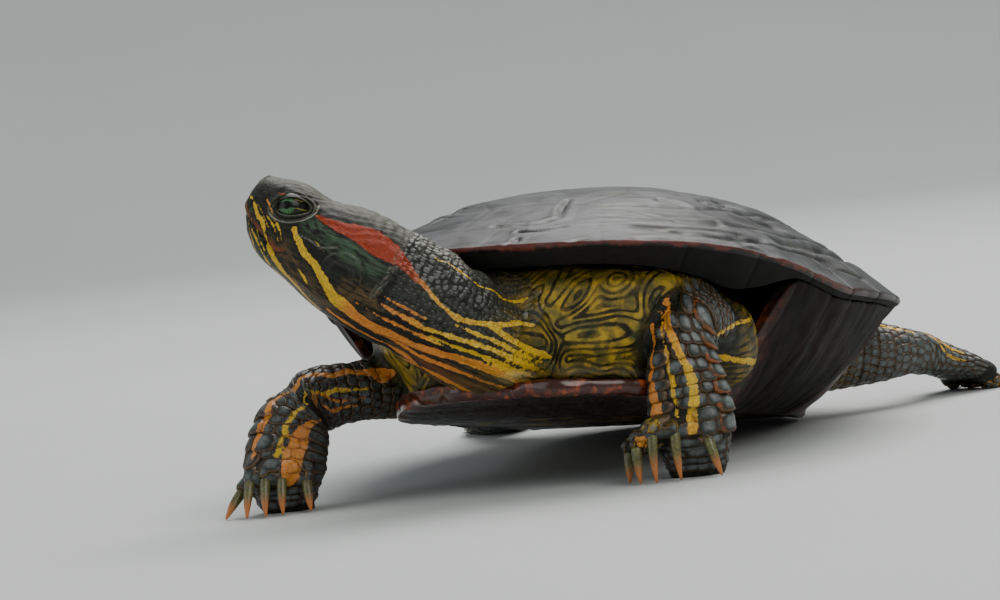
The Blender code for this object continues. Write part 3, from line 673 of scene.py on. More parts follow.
class SkinMap:
    """Where each point of the skin lies on the neck, the legs and the tail."""

    def __init__(self, points, tubes):
        self.along, self.angle, self.radius = {}, {}, {}
        ratios = []
        for name in SKIN_TUBES:
            tube = tubes[name]
            along, angle, out = tube.coordinates(points)
            breadth, depth = tube.size_at(along)
            here = np.hypot(np.cos(angle) * breadth, np.sin(angle) * depth)
            beyond = np.maximum(along - tube.length[-1], 0) + np.maximum(-along, 0)
            if name == "neck":
                here = np.where(along < HEAD_LENGTH + 3.0, here * HEAD_REACH, here)
            elif "leg" in name:
                here = np.where(along > tube.length[-1] - FOOT_LENGTH, here * FOOT_REACH, here)
            self.along[name], self.angle[name], self.radius[name] = along, angle, out
            ratios.append(out / here + beyond / 6.0)
        self.nearest = np.argmin(ratios, 0)
        self.limb = 1.0 - smooth(1.12, 1.5, np.min(ratios, 0))

    def share(self, name):
        """1 on that limb, fading to 0 on the pocket skin."""
        return self.limb * (self.nearest == SKIN_TUBES.index(name))


# ---- skin: markings
# Stripes run along a limb: (length along, angle in degrees, half width in mm, warmth).
# Warmth 0 is yellow, 0.5 orange and 1 red. The neck's are repeated on its other side.

NECK_STRIPES = [
    [(0.8, 14, 0.3, 0), (4.1, -11, 0.55, 0), (6.4, -18, 0.65, 0.05), (8.7, -29, 0.5, 0.1),
     (11.7, -44, 0.7, 0), (15.4, -52, 0.85, 0.05), (20, -55, 0.75, 0.1), (24.7, -60, 0.7, 0.15),
     (30, -66, 0.5, 0.3)],
    [(14.6, 1, 0.75, 0.2), (15.9, -6, 0.8, 0.15), (19.6, -15, 0.95, 0.05), (22.9, -18, 0.9, 0),
     (26.8, -24, 1.2, 0.1), (31.4, -33, 1.5, 0.15), (35.9, -39, 1.8, 0.4), (41.8, -46, 1.6, 0.6),
     (47, -48.5, 1, 0.55), (52.8, -52, 0.95, 0.6), (56.6, -48, 1, 0.5), (61.3, -44, 1.1, 0.45),
     (66, -42, 1.2, 0.4), (70.5, -41, 1.2, 0.3), (76, -45, 1.1, 0.2), (84, -50, 0.9, 0.1)],
    [(43, -55, 0.1, 0.7), (48, -58, 0.5, 0.65), (54, -62, 0.55, 0.6), (60, -60, 0.6, 0.6),
     (68, -57, 0.5, 0.5), (76, -58, 0.3, 0.3)],
    [(32, -54, 0.6, 0.5), (38, -62, 1, 0.65), (44, -66, 1.1, 0.7), (49.7, -73, 1, 0.6), (55, -80, 0.9, 0.6),
     (60.7, -86, 0.8, 0.5), (70, -84, 0.7, 0.4)],
    [(17.5, 28.5, 0.22, 0.9), (20, 28, 0.8, 1), (23, 28.5, 1.3, 1), (27.7, 32, 2.2, 1), (33.4, 33, 3.1, 1),
     (38.5, 32, 2.5, 1), (41.8, 29, 1.8, 1), (45, 21, 1.2, 0.95), (47.5, 14, 0.5, 0.8)],
    [(47.5, 14, 0.4, 0.6), (49.9, 9, 0.5, 0.35), (52.3, 3, 0.5, 0.3), (54.5, -1, 0.6, 0.3),
     (56.6, -4, 0.7, 0.25), (59.2, -2, 0.7, 0.2), (62.4, 2, 0.7, 0.15), (65.3, 7, 0.8, 0.1),
     (70, 16, 0.6, 0)],
    [(62.4, 2, 0.5, 0.1), (66, -2, 0.7, 0.1), (72, -8, 0.8, 0), (78, -14, 0.7, 0)],
    [(42, -19, 0.15, 0.6), (47.9, -24, 0.45, 0.4), (49.8, -25, 0.75, 0.4), (53, -27, 0.5, 0.3),
     (55.6, -25, 0.5, 0.1), (59.3, -23, 0.5, 0), (63.4, -22, 0.6, 0), (67.2, -21, 0.6, 0),
     (74, -26, 0.7, 0)],
    [(57, -11, 0.15, 0.1), (61, -12, 0.45, 0.1), (66, -12, 0.5, 0), (74, -18, 0.5, 0)],
    [(55, -33, 0.2, 0.2), (60, -33, 0.5, 0.1), (66, -31, 0.6, 0), (74, -35, 0.6, 0)],
    [(40, -10, 0.12, 0.7), (46, -14, 0.25, 0.6), (52, -17, 0.25, 0.4)],
    [(37, -28, 0.12, 0.6), (44, -33, 0.3, 0.6), (50, -36, 0.3, 0.5), (57, -37, 0.3, 0.3)],
    [(5.4, -47, 0.25, 0), (8.4, -52, 0.35, 0), (12.9, -66, 0.4, 0), (19, -76, 0.4, 0.1),
     (28, -82, 0.4, 0.2)],
    [(6, -4, 0.05, 0), (9, -10, 0.14, 0), (12.5, -24, 0.12, 0.3)],
    [(8.4, -2, 0.05, 0), (11, -9, 0.14, 0), (13.5, -22, 0.1, 0.2)],
    [(4, 24, 0.05, 0.5), (6.2, 12, 0.22, 0.45), (8.4, -1, 0.16, 0.2), (11.5, -12, 0.14, 0)],
    [(3.2, 4, 0.03, 0), (6, -8, 0.1, 0), (8.6, -18, 0.03, 0)],
    [(3.6, -28, 0.06, 0), (7.4, -42, 0.12, 0), (12, -54, 0.08, 0)],
    [(16, -46, 0.02, 0.4), (22, -50, 0.12, 0.4), (30, -56, 0.05, 0.5)],
    [(18.5, 3, 0.02, 0.1), (21, 1, 0.1, 0.1), (25, -4, 0.02, 0.1)],
    [(2, -38, 0.15, 0), (5.5, -58, 0.2, 0), (10, -74, 0.25, 0)],
    [(20, -33, 0.02, 0.2), (23, -37, 0.3, 0.15), (26, -41, 0.05, 0.2)],
    [(6.2, 39, 0.2, 0.95), (7.4, 37, 0.4, 0.9), (8.4, 35, 0.2, 0.9)],
    [(48, 48, 0.15, 0.2), (56, 44, 0.3, 0.1), (66, 40, 0.4, 0), (76, 40, 0.5, 0)],
]

FORELEG_STRIPES = {
    "left": [
        [(40, -92, 0.5, 0.5), (43.5, -98, 0.8, 0.45), (45.7, -106, 0.9, 0.4), (48.7, -105, 0.9, 0.35),
         (51.8, -98, 0.9, 0.3), (54.7, -88, 0.8, 0.2), (58.2, -82, 0.85, 0.1), (61.9, -82, 0.7, 0.1),
         (65.3, -88, 0.7, 0.2), (69.5, -92, 0.6, 0.3)],
        [(43.5, -112, 0.4, 0.45), (46, -140, 0.5, 0.5), (49, -146, 0.5, 0.5), (54, -150, 0.7, 0.5),
         (58, -148, 1.3, 0.5), (62, -144, 1.7, 0.45), (66, -137, 1.7, 0.45), (69.5, -130, 1.3, 0.4)],
        [(44.5, -116, 0.3, 0.4), (49.6, -122, 0.35, 0.3), (53.3, -118, 0.45, 0.25), (57.5, -111, 0.4, 0.15),
         (62.3, -109, 0.3, 0.1), (66.5, -108, 0.25, 0.1)],
        [(52, -2, 0.4, 0.5), (60, 2, 0.55, 0.45), (70, 2, 0.5, 0.45)],
        [(20, 120, 0.8, 0.1), (40, 110, 0.8, 0.2), (56, 100, 0.7, 0.2), (70, 95, 0.6, 0.3)],
        [(20, 60, 0.5, 0), (44, 55, 0.5, 0.1), (66, 60, 0.5, 0.2)],
        [(6, -60, 0.5, 0.1), (16, -54, 0.8, 0.1), (26, -58, 0.7, 0.1)],
        [(6, -20, 0.4, 0), (16, -16, 0.7, 0.1), (28, -22, 0.5, 0.1)],
    ],
    "right": [
        [(29.5, 66, 0.8, 0.55), (32.4, 62, 2.4, 0.5), (34.4, 52, 1.1, 0.5), (37.9, 42, 0.9, 0.45),
         (43.7, 42, 0.9, 0.4), (49.1, -13, 0.9, 0.4), (52.6, -109, 0.9, 0.45), (57.2, -122, 0.9, 0.45),
         (61.8, -134, 0.9, 0.5), (66, -138, 0.7, 0.5)],
        [(34, 84, 0.3, 0.1), (41, 77, 0.5, 0.1), (46.8, 62, 0.5, 0.05), (52, -47, 0.5, 0.05),
         (57.3, -82, 0.55, 0.1), (61.6, -94, 0.5, 0.1), (66, -101, 0.4, 0.1)],
        [(38, 112, 0.4, 0.5), (46.1, 99, 0.5, 0.5), (51.6, -3, 0.6, 0.5), (58.4, -58, 1, 0.5),
         (62.1, -70, 1.5, 0.5), (66.5, -78, 1.6, 0.45), (69.5, -83, 1.3, 0.45)],
        [(36, 100, 0.2, 0.7), (44, 90, 0.35, 0.7), (50, 25, 0.35, 0.6)],
        [(20, -70, 0.6, 0.1), (40, -80, 0.7, 0.2)],
        [(54, 100, 0.6, 0.2), (70, 100, 0.6, 0.3)],
    ],
}
HINDLEG_STRIPES = [
    [(10, 60, 0.7, 0.1), (30, 58, 0.9, 0.1), (50, 40, 0.8, 0.2), (70, 30, 0.6, 0.2)],
    [(10, 20, 0.6, 0), (30, 16, 0.7, 0.1), (50, 5, 0.6, 0.2), (70, 0, 0.6, 0.2)],
    [(10, -25, 0.6, 0), (30, -28, 0.8, 0.1), (50, -40, 0.7, 0.2)],
    [(10, 120, 0.6, 0), (30, 118, 0.8, 0.1), (50, 110, 0.7, 0.2)],
    [(14, 160, 0.5, 0), (34, 158, 0.7, 0.1), (52, 150, 0.6, 0.2)],
]
TAIL_STRIPES = [[(6, angle, 0.5, 0.1), (30, angle, 0.5, 0.1), (56, angle, 0.25, 0.2)]
                for angle in (60, 120, 20, 160, -50, -130)]


def wrapped(angle):
    return (angle + pi) % (2 * pi) - pi


def run_out(stripe):
    """A neck stripe with its lower end drawn out thin over the soft skin."""
    along, angle, _, warmth = stripe[-1]
    return stripe + [(along + 10, angle - 8, -0.7, warmth)] if along > 65 else stripe


STRIPES = {"neck": [run_out(stripe) for stripe in NECK_STRIPES], "tail": TAIL_STRIPES,
           "hindleg_left": HINDLEG_STRIPES, "hindleg_right": HINDLEG_STRIPES,
           "foreleg_left": FORELEG_STRIPES["left"], "foreleg_right": FORELEG_STRIPES["right"]}


def stripe_field(along, angle, radius, stripes):
    """Depth inside the nearest stripe in mm (negative outside) and that stripe's warmth."""
    best = np.full(len(along), -9.0)
    warmth = np.zeros(len(along))
    for stripe in stripes:
        stripe = np.asarray(stripe, float)
        at = np.clip(along, stripe[0, 0], stripe[-1, 0])
        middle, half, warm = along_table(stripe, at).T
        side = wrapped(angle - np.radians(middle)) * radius
        field = half - np.hypot(side, along - at)
        warmth = np.where(field > best, warm, warmth)
        best = np.maximum(best, field)
    return best, warmth


def two_sided(angle):
    """The same angle for both sides of the neck: 0 at the side, 90 at the crown."""
    return np.arctan2(np.sin(angle), np.abs(np.cos(angle)))


def markings(points, tubes):
    """Paint of the skin at each point: stripe depth, warmth, how olive and how banded the ground is."""
    place = SkinMap(points, tubes)
    stripe, warmth = np.full(len(points), -9.0), np.zeros(len(points))
    wander = layers(points, 1.7, 41) * 0.36
    for name, rows in STRIPES.items():
        share = place.share(name)
        here = share > 0.01
        if not here.any():
            continue
        angle = place.angle[name][here]
        angle = two_sided(angle) if name == "neck" else angle
        field, warm = stripe_field(place.along[name][here], angle, place.radius[name][here], rows)
        field = np.minimum(field + wander[here], 2) - 2.4 * (1.0 - share[here])
        stripe[here], warmth[here] = field, warm
    neck_root = place.share("neck") * smooth(60, 82, place.along["neck"])
    legs = 0.6 * sum(place.share(n) * (1.0 - smooth(22, 34, place.along[n])) for n in SKIN_TUBES[1:5])
    banded = np.clip(1.0 - place.limb + neck_root + legs, 0, 1)
    tint, pale, lid = head_paint(points, place)
    x, y, z = into_shell(points).T
    turn = np.arctan2(y, x)
    edge = plastron_edge(turn)
    above = z - belly_height(turn, edge) - LIP_LEVEL
    lip = bell(above, 1.1) * smooth(6, 2, np.abs(np.hypot(x, y) - edge)) * banded
    return {"stripe": stripe, "warmth": warmth, "banded": banded, "contour": contours(points, place),
            "tint": tint, "pale": np.maximum(pale, 0.75 * lip), "lid": lid, "lie": lie_of_skin(points, place)}


# Middles of the pocket skin's nested rings: left, up, times longer than wide, lean in degrees, rings kept.
POCKET_RINGS = [(17.5, -1.5, 2.8, 42, 0.9), (27, 2, 1.2, 90, 0.9), (20, -24, 1.9, -4, 2),
                (21.5, -11.5, 3.8, 8, 1), (35, -6, 3.6, 80, 0.8), (6, -4, 3.8, 56, 0.8),
                (50, -12, 3, 76, 0)]
LINE_SPACING = 1.35
LIP_LEVEL = 5.4                # height of the pale lip of skin over the lower shell's edge
BLEND = 0.42                   # how softly neighbouring rings run together


def contours(points, place):
    """Height of the contour pattern on the soft skin; each whole step is one dark line."""
    local = into_shell(points)
    x, y, z = np.abs(local[:, 0]), local[:, 1], local[:, 2]
    x = x + 1.6 * noise(points, 8, 44)
    z = z + 1.4 * noise(points, 7, 46)
    total = np.zeros(len(points))
    for left, up, longer, lean, kept in POCKET_RINGS:
        way = np.array([cos(radians(lean)), sin(radians(lean))])
        u = (x - left) * way[0] + (z - up) * way[1]
        v = (z - up) * way[0] - (x - left) * way[1]
        total += np.exp((kept - np.hypot(u / longer, v) / LINE_SPACING) / BLEND)
    front = 3.1 - BLEND * np.log(np.maximum(total, 1e-30))
    rear = 0.33 * z + 0.12 * x
    height = mix(rear, front, smooth(10, -30, y))
    for name in SKIN_TUBES:
        across = np.abs(wrapped(place.angle[name])) * np.minimum(place.radius[name], 14) / 2.8
        share = place.share(name)
        if name == "neck":
            share = share * smooth(92, 74, place.along[name])
        height = mix(height, across + 0.15 * noise(points, 6, 45), share)
    return height


GREEN_BANDS = [[(17, 16), (24, 14), (31, 11), (38, 9)], [(2, -22), (6, -40), (12, -60), (20, -68)]]
BROWN_BANDS = [
    [(13, -30), (19, -37), (26, -47), (32, -50)],
    [(34, -20), (40, -24)],
    [(50, -64), (62, -62), (76, -60)],
    [(56, -82), (68, -80), (80, -78)],
]
EAR_LINE = [(15.5, 0.0), (19.0, 0.6), (22.5, 0.4), (26.0, 2.6)]


def head_paint(points, place):
    """Tint (-1 green, 1 olive brown, 2 rust along the beak), pale lines, a painted sheen on the crown and dry
    lids of the head.
    """
    along, angle = place.along["neck"], two_sided(place.angle["neck"])
    share = place.share("neck")
    back, left, up = head_coordinates(points).T
    tint = np.zeros(len(points))
    for bands, sign, spread in ((GREEN_BANDS, -1.0, 2.6), (BROWN_BANDS, 1.0, 3.4)):
        for band in bands:
            tint += sign * bell(line_gap(along, angle * 11.0, laid_flat(band, 11.0)), spread)
    gap, over = mouth_fields(back, up)
    beak = bell(gap - 0.75, 0.65) * over * smooth(16.5, 13.5, back) * (np.abs(left) > 1.0)
    tint = np.where(beak > 0.15, mix(tint, 2, np.minimum(beak * 1.4, 1)), tint)
    fold = line_gap(along, angle * 12.0, laid_flat(NAPE_FOLDS[0][1:5], 12.0))
    drum, over_drum = eardrum_distance(back, up), up - EARDRUM[1]
    pale = np.maximum.reduce([
        0.38 * bell(fold - 0.3, 0.15) + 0.25 * bell(fold - 0.9, 0.1),
        0.2 * bell(drum - 5.2, 0.15) * smooth(-1, 2.5, over_drum),
        0.07 * bell(drum - 3.2, 0.25) * smooth(-2, 2, over_drum),
        0.42 * bell(line_gap(back, up, EAR_LINE), 0.16),
        # The last entry lightens the crown, the upward-facing top of head and neck: a painted sheen.
        0.24 * smooth(radians(42), radians(72), angle)])
    lid = np.zeros(len(points))
    for side in (1, -1):
        x, y, out = ((points - eye_centre(side)) @ eye_axes(side).T).T
        opening, field = eye_fields(x, y)
        near = (out > 0.5) & (field < 1.6)
        low = smooth(1.4, -1.6, y - 0.35 * x)
        rim = 0.85 * bell(field - 1.1, 0.045) * low + 0.2 * bell(field - 1.1, 0.05)
        edge = 0.45 * bell(opening - 1.08, 0.05) * low
        lines = 0.24 * smooth(0.2, 0.9, np.cos(field * 4.2 * 2 * pi)) * (field < 1.0) * (opening > 1.1)
        pale = np.where(near, np.maximum.reduce([pale, rim, edge, lines]), pale)
        tint = np.where(near & (field < 1.0), 0.25, tint)
        lid = np.where(near, smooth(1.25, 1, field), lid)
    return tint * share, pale * share, lid


def lie_of_skin(points, place):
    """Place of each point in mm with the limb drawn short, so that streaks run along it."""
    lie = points * 0.7
    for name in SKIN_TUBES:
        angle = two_sided(place.angle[name]) if name == "neck" else place.angle[name]
        radius = place.radius[name]
        drawn = np.stack([place.along[name] * 0.16, radius * np.cos(angle), radius * np.sin(angle)], -1)
        lie = np.where(place.share(name)[:, None] > 0.5, drawn, lie)
    return lie


def steepness(mesh, values):
    """How fast a value changes over the mesh at each vertex, per mm."""
    a, b = edge_ends(mesh)
    points = mesh_points(mesh)
    slope = np.abs(values[a] - values[b]) / np.maximum(np.linalg.norm(points[a] - points[b], axis=1), 1e-3)
    most = np.zeros((len(values), 1))
    np.maximum.at(most[:, 0], a, slope)
    np.maximum.at(most[:, 0], b, slope)
    return relaxed(mesh, most, np.ones(len(values)), 4)[:, 0]


def write_paint(mesh, points, tubes, **more):
    paint = markings(points, tubes)
    write_attributes(mesh, steep=steepness(mesh, paint["contour"]), **paint, **more)


# ---- skin: relief

MOUTH_LINE = [(-0.6, -1), (1.9, -3), (5, -4.2), (7.8, -4.9), (10.6, -6.1), (12.8, -6.8), (14.7, -6.2),
              (16.4, -5)]
EARDRUM = (30.1, -2.4)
KNOBS = (20.6, 8.5)            # knobbly skin behind the orbit
NAPE_FOLDS = [
    [(38, 88), (39.5, 60), (40.6, 30), (40.6, 5), (39.6, -14), (38, -30)],
    [(43.5, 70), (43, 40), (43.4, 16), (42.2, -6), (41.5, -24)],
    [(50, 100), (51, 60), (52.5, 30), (53.5, 0)],
]
EYE_OPENING = (3.9, 2.1)      # half width and half height of the opening between the lids
EYE_FIELD = (5.6, 3.45)        # the same for the ring of lid skin round it
OPENING_SHIFT = 1.0            # how far the opening's middle lies behind the pupil
OPENING_LIFT = -0.35           # and above it
EYE_LEVEL = 0.68               # how far the eye's bar is turned from the head's line towards level


def eye_centre(side):
    back, up, out = EYE_PLACE
    return in_head(back, side * out, up)


def eye_axes(side):
    """Rows: back along the head, up, and out through the pupil."""
    out = unit(HEAD_AXES[1] * side * 0.93 + HEAD_AXES[2] * 0.06 - HEAD_AXES[0] * 0.33)
    back = unit(HEAD_AXES[0] - out * (HEAD_AXES[0] @ out))
    back = unit(back + EYE_LEVEL * np.cross(out, back) * side)
    up = np.cross(out, back)
    if up @ HEAD_AXES[2] < 0:
        up = -up
    return np.array([back, up, out])


def eye_fields(x, y):
    """Opening and lid ring as round fields that are 1 at their edges, from places across the eye."""
    x, y = x - OPENING_SHIFT, y - OPENING_LIFT
    return [np.hypot(x / wide, y / high) for wide, high in (EYE_OPENING, EYE_FIELD)]


def eardrum_distance(back, up):
    return np.hypot(back - EARDRUM[0], (up - EARDRUM[1]) * 0.95)


def mouth_fields(back, up):
    """Distance to the mouth's line, and whether a place lies over it."""
    return line_gap(back, up, MOUTH_LINE), up > np.interp(back, *np.transpose(MOUTH_LINE))


def laid_flat(line, radius):
    """A line of (length along, angle in degrees) with its angles as lengths round a radius."""
    return [(s, radians(a) * radius) for s, a in line]


def line_gap(x, y, line):
    """Distance of plan points to a broken line."""
    best = np.full(np.shape(x), 1e9)
    for (ax, ay), (bx, by) in zip(line, line[1:]):
        dx, dy = bx - ax, by - ay
        t = np.clip(((x - ax) * dx + (y - ay) * dy) / (dx * dx + dy * dy), 0, 1)
        best = np.minimum(best, np.hypot(x - ax - t * dx, y - ay - t * dy))
    return best


def head_relief(points, normals, place):
    """Beak, mouth, nostrils, eardrum and brow as moves along the normal."""
    back, left, up = head_coordinates(points).T
    share = place.share("neck") * (1.0 - smooth(41, 44, place.along["neck"]))
    facing = smooth(0.15, 0.6, np.abs(normals @ HEAD_AXES[1]) + (back < 4.0) * 0.6)
    gap, over = mouth_fields(back, up)
    beak = facing * smooth(17, 14, back)
    lift = (np.where(over, 0.22, -0.35) * np.exp(-gap / 1.5) - 0.75 * bell(gap, 0.32)) * beak
    drum = eardrum_distance(back, up)
    lift += facing * (0.3 * bell(drum - 4.6, 0.7) - 0.35 * bell(drum - 5.6, 0.6)
                      + 0.12 * np.cos(drum * 3.4) * smooth(5, 3, drum))
    lift += 0.8 * bell(up - 8.4 + 0.02 * (back - 12) ** 2, 1) * bell(back - 12.0, 6) * facing
    lift -= 0.9 * bell(np.hypot(back - 1.0, np.abs(left) - 1.45), 0.55) * (up > 0.5)
    lift += 0.35 * bell(up + 10.5 - 0.05 * back, 1.6) * smooth(12, 20, back) * facing
    creases = np.sin((up * 0.9 + back * 0.45 + 1.6 * noise(points, 5, 5)) * 3.0)
    cheek = smooth(-12, -7, up) * smooth(15, 19, back) * smooth(40, 34, back)
    lift += 0.07 * creases * cheek * smooth(4.6, 6, drum)
    on_crown = smooth(3, 7.5, up) * smooth(2, 9, back)
    crown_lines = np.sin((left * 1.5 + 0.25 * back + 3.2 * noise(points, 6, 6)) * 2.4)
    lift += (0.1 * crown_lines + 0.16 * layers(points, 2.6, 7, 2)) * on_crown
    knobs = bell(np.hypot(back - KNOBS[0], (up - KNOBS[1]) * 1.5), 2.6)
    lift += 0.34 * knobs * noise(points, 1.5, 8)
    cross_lines = np.sin((back * 0.9 + 1.8 * noise(points, 7, 9)) * 2.2)
    lift += 0.1 * cross_lines * smooth(7, 10, up) * smooth(26, 32, back)
    return lift * share


def neck_relief(points, place):
    """Folds behind the head, long creases and loose skin under the throat."""
    along, folded = place.along["neck"], two_sided(place.angle["neck"])
    lift = 0.45 * layers(points, 6, 14, 2)
    for fold in NAPE_FOLDS:
        gap = line_gap(along, folded * 12.0, laid_flat(fold, 12.0))
        lift += 0.1 * bell(gap - 1.0, 0.6) - 0.3 * bell(gap, 0.3)
    waves = np.sin(along * 0.75 + 2.5 * noise(points, 9, 11))
    lift += 0.45 * waves * smooth(0, 0.8, np.sin(folded)) * smooth(42, 50, along)
    creases = np.sin(folded * place.radius["neck"] * 1.9 + 2.4 * noise(points, 8, 12))
    lift += 0.3 * creases * smooth(0.1, -0.5, np.sin(folded))
    return lift * place.share("neck") * smooth(34, 42, along)


def pocket_relief(points, place):
    """Soft folds of the skin between the shells."""
    waves = np.sin(points[:, 2] * 0.55 + 2.6 * noise(points, 12, 21))
    return (1.0 - place.limb) * (0.45 * waves + 0.5 * layers(points, 9, 22, 2))


def limb_relief(points, place):
    """Low rings round legs and tail."""
    lift = np.zeros(len(points))
    for name in SKIN_TUBES[1:]:
        waves = np.sin(place.along[name] * 1.5 + 2.0 * noise(points, 7, 31))
        lift += place.share(name) * (0.14 * waves + 0.12 * layers(points, 3, 32, 2))
    return lift


def fit_lids(points):
    """Wrap the skin round each eyeball, leaving the opening between the lids."""
    for side in (1, -1):
        centre, axes = eye_centre(side), eye_axes(side)
        x, y, out = ((points - centre) @ axes.T).T
        opening, field = eye_fields(x, y)
        near = (field < 1.5) & (out > 0.0)
        flat = np.hypot(x, y)
        turn = np.arctan2(y, x)
        rings = 0.1 * np.cos((field * 4.2 + 0.12 * np.sin(3 * turn) + 0.05 * np.sin(7 * turn)) * 2 * pi)
        rings *= smooth(1.04, 1.2, opening) * smooth(1.15, 0.95, field) * (1.0 + 0.8 * smooth(0.3, 1.6, y))
        ball = EYE_RADIUS + 0.4 + 0.16 * bell(opening - 1.1, 0.1)
        lid = np.sqrt(np.maximum(ball ** 2 - flat ** 2, 0.5)) + rings
        sunk = np.sqrt(np.maximum((EYE_RADIUS - 1.3) ** 2 - flat ** 2, 0.3))
        wanted = mix(sunk, lid, smooth(0.93, 1.03, opening))
        rim = (0.28 * bell(field - 1.14, 0.09) - 0.55 * bell(field - 0.98, 0.09)
               - 0.35 * smooth(1, 0.7, field) + rings)
        out = mix(out + rim, wanted, 1.0 - smooth(0.66, 0.97, field))
        points = np.where(near[:, None], np.stack([x, y, out], -1) @ axes + centre, points)
    return points


def skin_mesh():
    """The whole skin with its relief, in one closed mesh, and the tubes that it follows."""
    tubes = body_tubes()
    bodies = [head_form(), pocket_form(), tube_form(tubes["tail"], 24, round_end=True)]
    for name in SKIN_TUBES[:5]:
        bodies.append(tube_form(tubes[name], 40, NECK_START if name == "neck" else 0.0))
    for _, root, base, tip, bow in all_toes():
        bodies.append(toe_form(root, base, tip, TOE_RADIUS, bow))
    mesh = remeshed("skin", bodies, SKIN_VOXEL)
    place = SkinMap(mesh_points(mesh), tubes)
    mesh = refined(mesh, (place.share("neck") > 0.5) & (place.along["neck"] < FINE_SKIN))
    points = mesh_points(mesh)
    eye_gap = np.minimum(*[np.linalg.norm(points - eye_centre(side), axis=1) for side in (1, -1)])
    mesh = refined(mesh, eye_gap < FINE_LIDS)
    points = mesh_points(mesh)
    points = relaxed(mesh, points, np.ones(len(points)), 3)
    on_head = smooth(34, 26, head_coordinates(points)[:, 0])
    on_head *= np.linalg.norm(points - in_head(16.0, 0.0, 0.0), axis=1) < 30.0
    points = drawn_to(points, head_form(), on_head)
    points = relaxed(mesh, points, on_head, 1)
    set_mesh_points(mesh, points)
    place, normals = SkinMap(points, tubes), mesh_normals(mesh)
    lift = (head_relief(points, normals, place) + neck_relief(points, place)
            + pocket_relief(points, place) + limb_relief(points, place))
    points = fit_lids(points + normals * lift[:, None])
    points[:, 2] = np.maximum(points[:, 2], 0)
    set_mesh_points(mesh, points)
    return mesh, tubes


# ---- shell plates

MARGINALS = 12                 # rim plates on each side, next to the nuchal plate
NUCHAL_HALF = 4.4              # half width of the nuchal plate at the front of the rim
RIM_ROW_START = 0.83           # where the rim plates begin, as a share of the way out
FAR = 99.0                     # a distance in mm beyond every seam
INSIDE = 2.2                   # marks the rings inside the carapace
# Seams of the upper plates in plan (left, rear), repeated on the right.
VERTEBRAL_SIDES = [(15.5, -83), (12.5, -61), (20, -45), (14.5, -29), (20.5, -12), (14.5, 5), (20, 22),
                   (13.5, 39), (17, 57), (23, 78)]
VERTEBRAL_CROSSES = [
    [(0, -59), (5, -60), (12.5, -61)],
    [(0, -31), (6, -29.5), (14.5, -29)],
    [(0, 3.5), (6, 5), (14.5, 5)],
    [(0, 37.5), (6, 39), (13.5, 39)],
]
COSTAL_CROSSES = [
    [(20, -45), (38, -47), (56, -42)],
    [(20.5, -12), (40, -12), (63, -6)],
    [(20, 22), (40, 25), (60, 34)],
    [(17, 57), (30, 62), (44, 70)],
]
SHELL_CRACKS = [
    [(7, -56), (8, -65), (10, -74)],
    [(-6, -78), (3.5, -79), (7, -77), (10, -74)],
    [(2.5, -84), (7.5, -84), (13, -81)],
    [(2.5, -95.5), (4, -92.5), (3.7, -89.6)],
    [(18, -94), (20, -93), (21.5, -91)],
    [(-24, -50), (-30, -62)],
]
SHELL_VALLEYS = [
    [(31, -76), (42, -72.5), (51.5, -63), (56, -47)],
    [(39, -64), (43, -59), (46, -52)],
    [(30, -50), (35, -48)],
    [(35, -86), (43, -79), (50.5, -71.5), (60.5, -59)],
    [(55.5, -62), (61.5, -56.5)],
    [(56.5, -37), (58, -17), (61, -4)],
    [(40, -30), (47, -22), (50, -10)],
]
PLASTRON_CROSSES = (-74.0, -50.0, -24.0, 20.0, 54.0)
WALL_SEAM = -13.5              # level of the long seam on the bridge between the shells


def rim_seam_angles():
    """Directions of the seams between the rim plates, all the way round."""
    turn = np.linspace(-pi / 2, pi / 2, 2001)
    reach = rim_radius(turn)
    edge = np.stack([reach * np.cos(turn), reach * np.sin(turn)], -1)
    walked = np.concatenate([[0], np.cumsum(np.linalg.norm(np.diff(edge, axis=0), axis=1))])
    stops = np.linspace(NUCHAL_HALF, walked[-1], MARGINALS + 1)
    left = np.interp(stops, walked, turn)
    return np.concatenate([left, pi - left[-2::-1]])


def crowded(start, end, count, pull=0.6):
    """Values from start up to end, closer together at both ends."""
    t = np.arange(count) / count
    return start + (end - start) * (t - pull * np.sin(2 * pi * t) / (2 * pi))


def seam_gap(angle, r):
    """Distance in mm to the nearest seam of the upper plates."""
    reach = rim_radius(angle)
    x, y = np.abs(reach * r * np.cos(angle)), reach * r * np.sin(angle)
    lines = (VERTEBRAL_SIDES, *VERTEBRAL_CROSSES, *COSTAL_CROSSES)
    inner = np.min([line_gap(x, y, line) for line in lines], 0)
    outer = np.min([np.abs(wrapped(angle - seam)) * reach * r for seam in rim_seam_angles()], 0)
    return np.minimum.reduce([np.abs(r - RIM_ROW_START) * reach, np.where(r < RIM_ROW_START, inner, FAR),
                              np.where(r >= RIM_ROW_START - 0.002, outer, FAR)])


